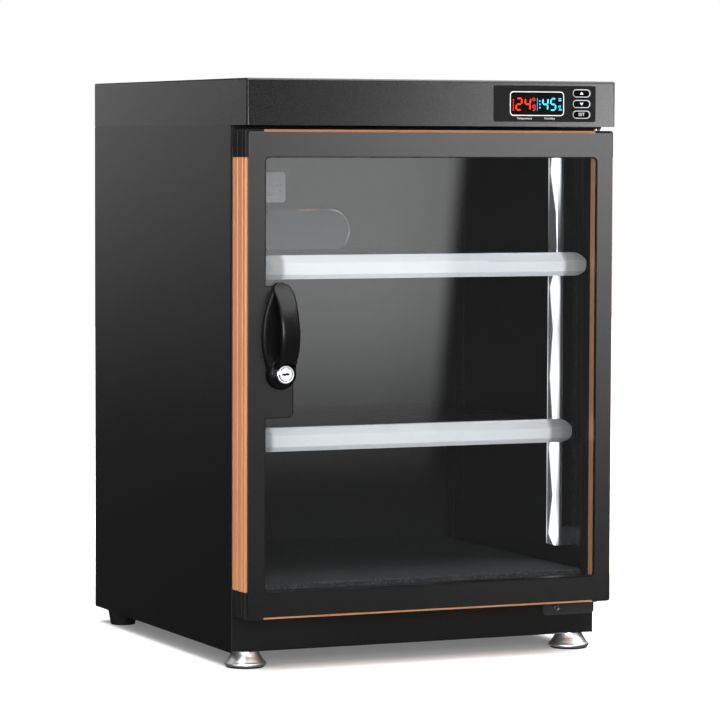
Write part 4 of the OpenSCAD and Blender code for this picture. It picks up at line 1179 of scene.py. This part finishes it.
def glow_card(name, corners, strength, receivers, depth=-1.5):
    """A flat card at one depth whose glow is a sum on its X and Z, seen only in its receivers' gloss."""
    shell = bmesh.new()
    shell.faces.new([shell.verts.new((x, depth, z)) for x, z in corners])
    glow = Finish(name, shade(0.0), 1.0)
    power = strength(glow.along(0), glow.along(2))
    shine = glow.add("ShaderNodeEmission", None, {"Color": (1, 1, 1, 1), "Strength": power})
    clear_through = glow.add("ShaderNodeBsdfTransparent", None, {"Color": (1, 1, 1, 1)})
    both = glow.add("ShaderNodeAddShader", None, {0: shine, 1: clear_through})
    glow.tree.links.new(both.socket, glow.end.inputs["Surface"])
    card = link(name, as_mesh(name, shell), glow.material)
    card.visible_camera = False
    card.visible_diffuse = False
    card.visible_shadow = False
    card.visible_transmission = False
    only_on(card, receivers)


wide_card = [(-0.3, 1.3), (1.9, 1.3), (1.9, -0.6), (-0.3, -0.6)]


def slanted_haze(x, z):
    """Pale left of a slanted line that leans to the right towards its top, and fading towards the floor."""
    across = x - z * 0.10
    pale = (1 - across.smooth(0.580, 0.616)) * (1 - across.smooth(0.48, 0.60) * 0.14)
    return pale * z.smooth(0.02, 0.36) * 2.45 + 0.15


def border_glow(x, z):
    right_side = x.smooth(0.40, 0.86) * z.smooth(-0.12, 0.35)
    top_right = z.smooth(0.30, 0.5) * x.smooth(0.1, 0.6)
    return right_side * 1.5 + top_right * 1.9 + z.smooth(-0.1, 0.5) * 0.82 + 0.02


def cap_glow(x, z):
    return x.smooth(0.52, 1.25) * (1 - z.smooth(0.62, 0.85)) * z.smooth(0.1, 0.4) * 17.0


def side_glow(x, z):
    back_edge = x.smooth(-0.86, -0.45)
    return z.smooth(0.05, 0.72) * (back_edge * 0.53 + 0.41) + back_edge * 0.04


def lock_glow(x, z):
    return z.smooth(-0.6, 0.6) * 1.6


glow_card("pale_sheet", wide_card, slanted_haze, ["clear_pane"])
glow_card("border_card", wide_card, border_glow, ["printed_border"], -1.51)
glow_card("cap_card", wide_card, cap_glow, ["soft_top_cap"], -1.52)
side_corners = [(-1.9, -0.7), (-0.25, -0.7), (-0.25, 1.0), (-1.9, 1.0)]
glow_card("side_card", side_corners, side_glow, ["soft_left_side_panel", "soft_top_cap"], 1.5)
glow_card("lock_card", wide_card, lock_glow, ["lock_head", "soft_lock_plug"], -1.53)
print("five cards hang")
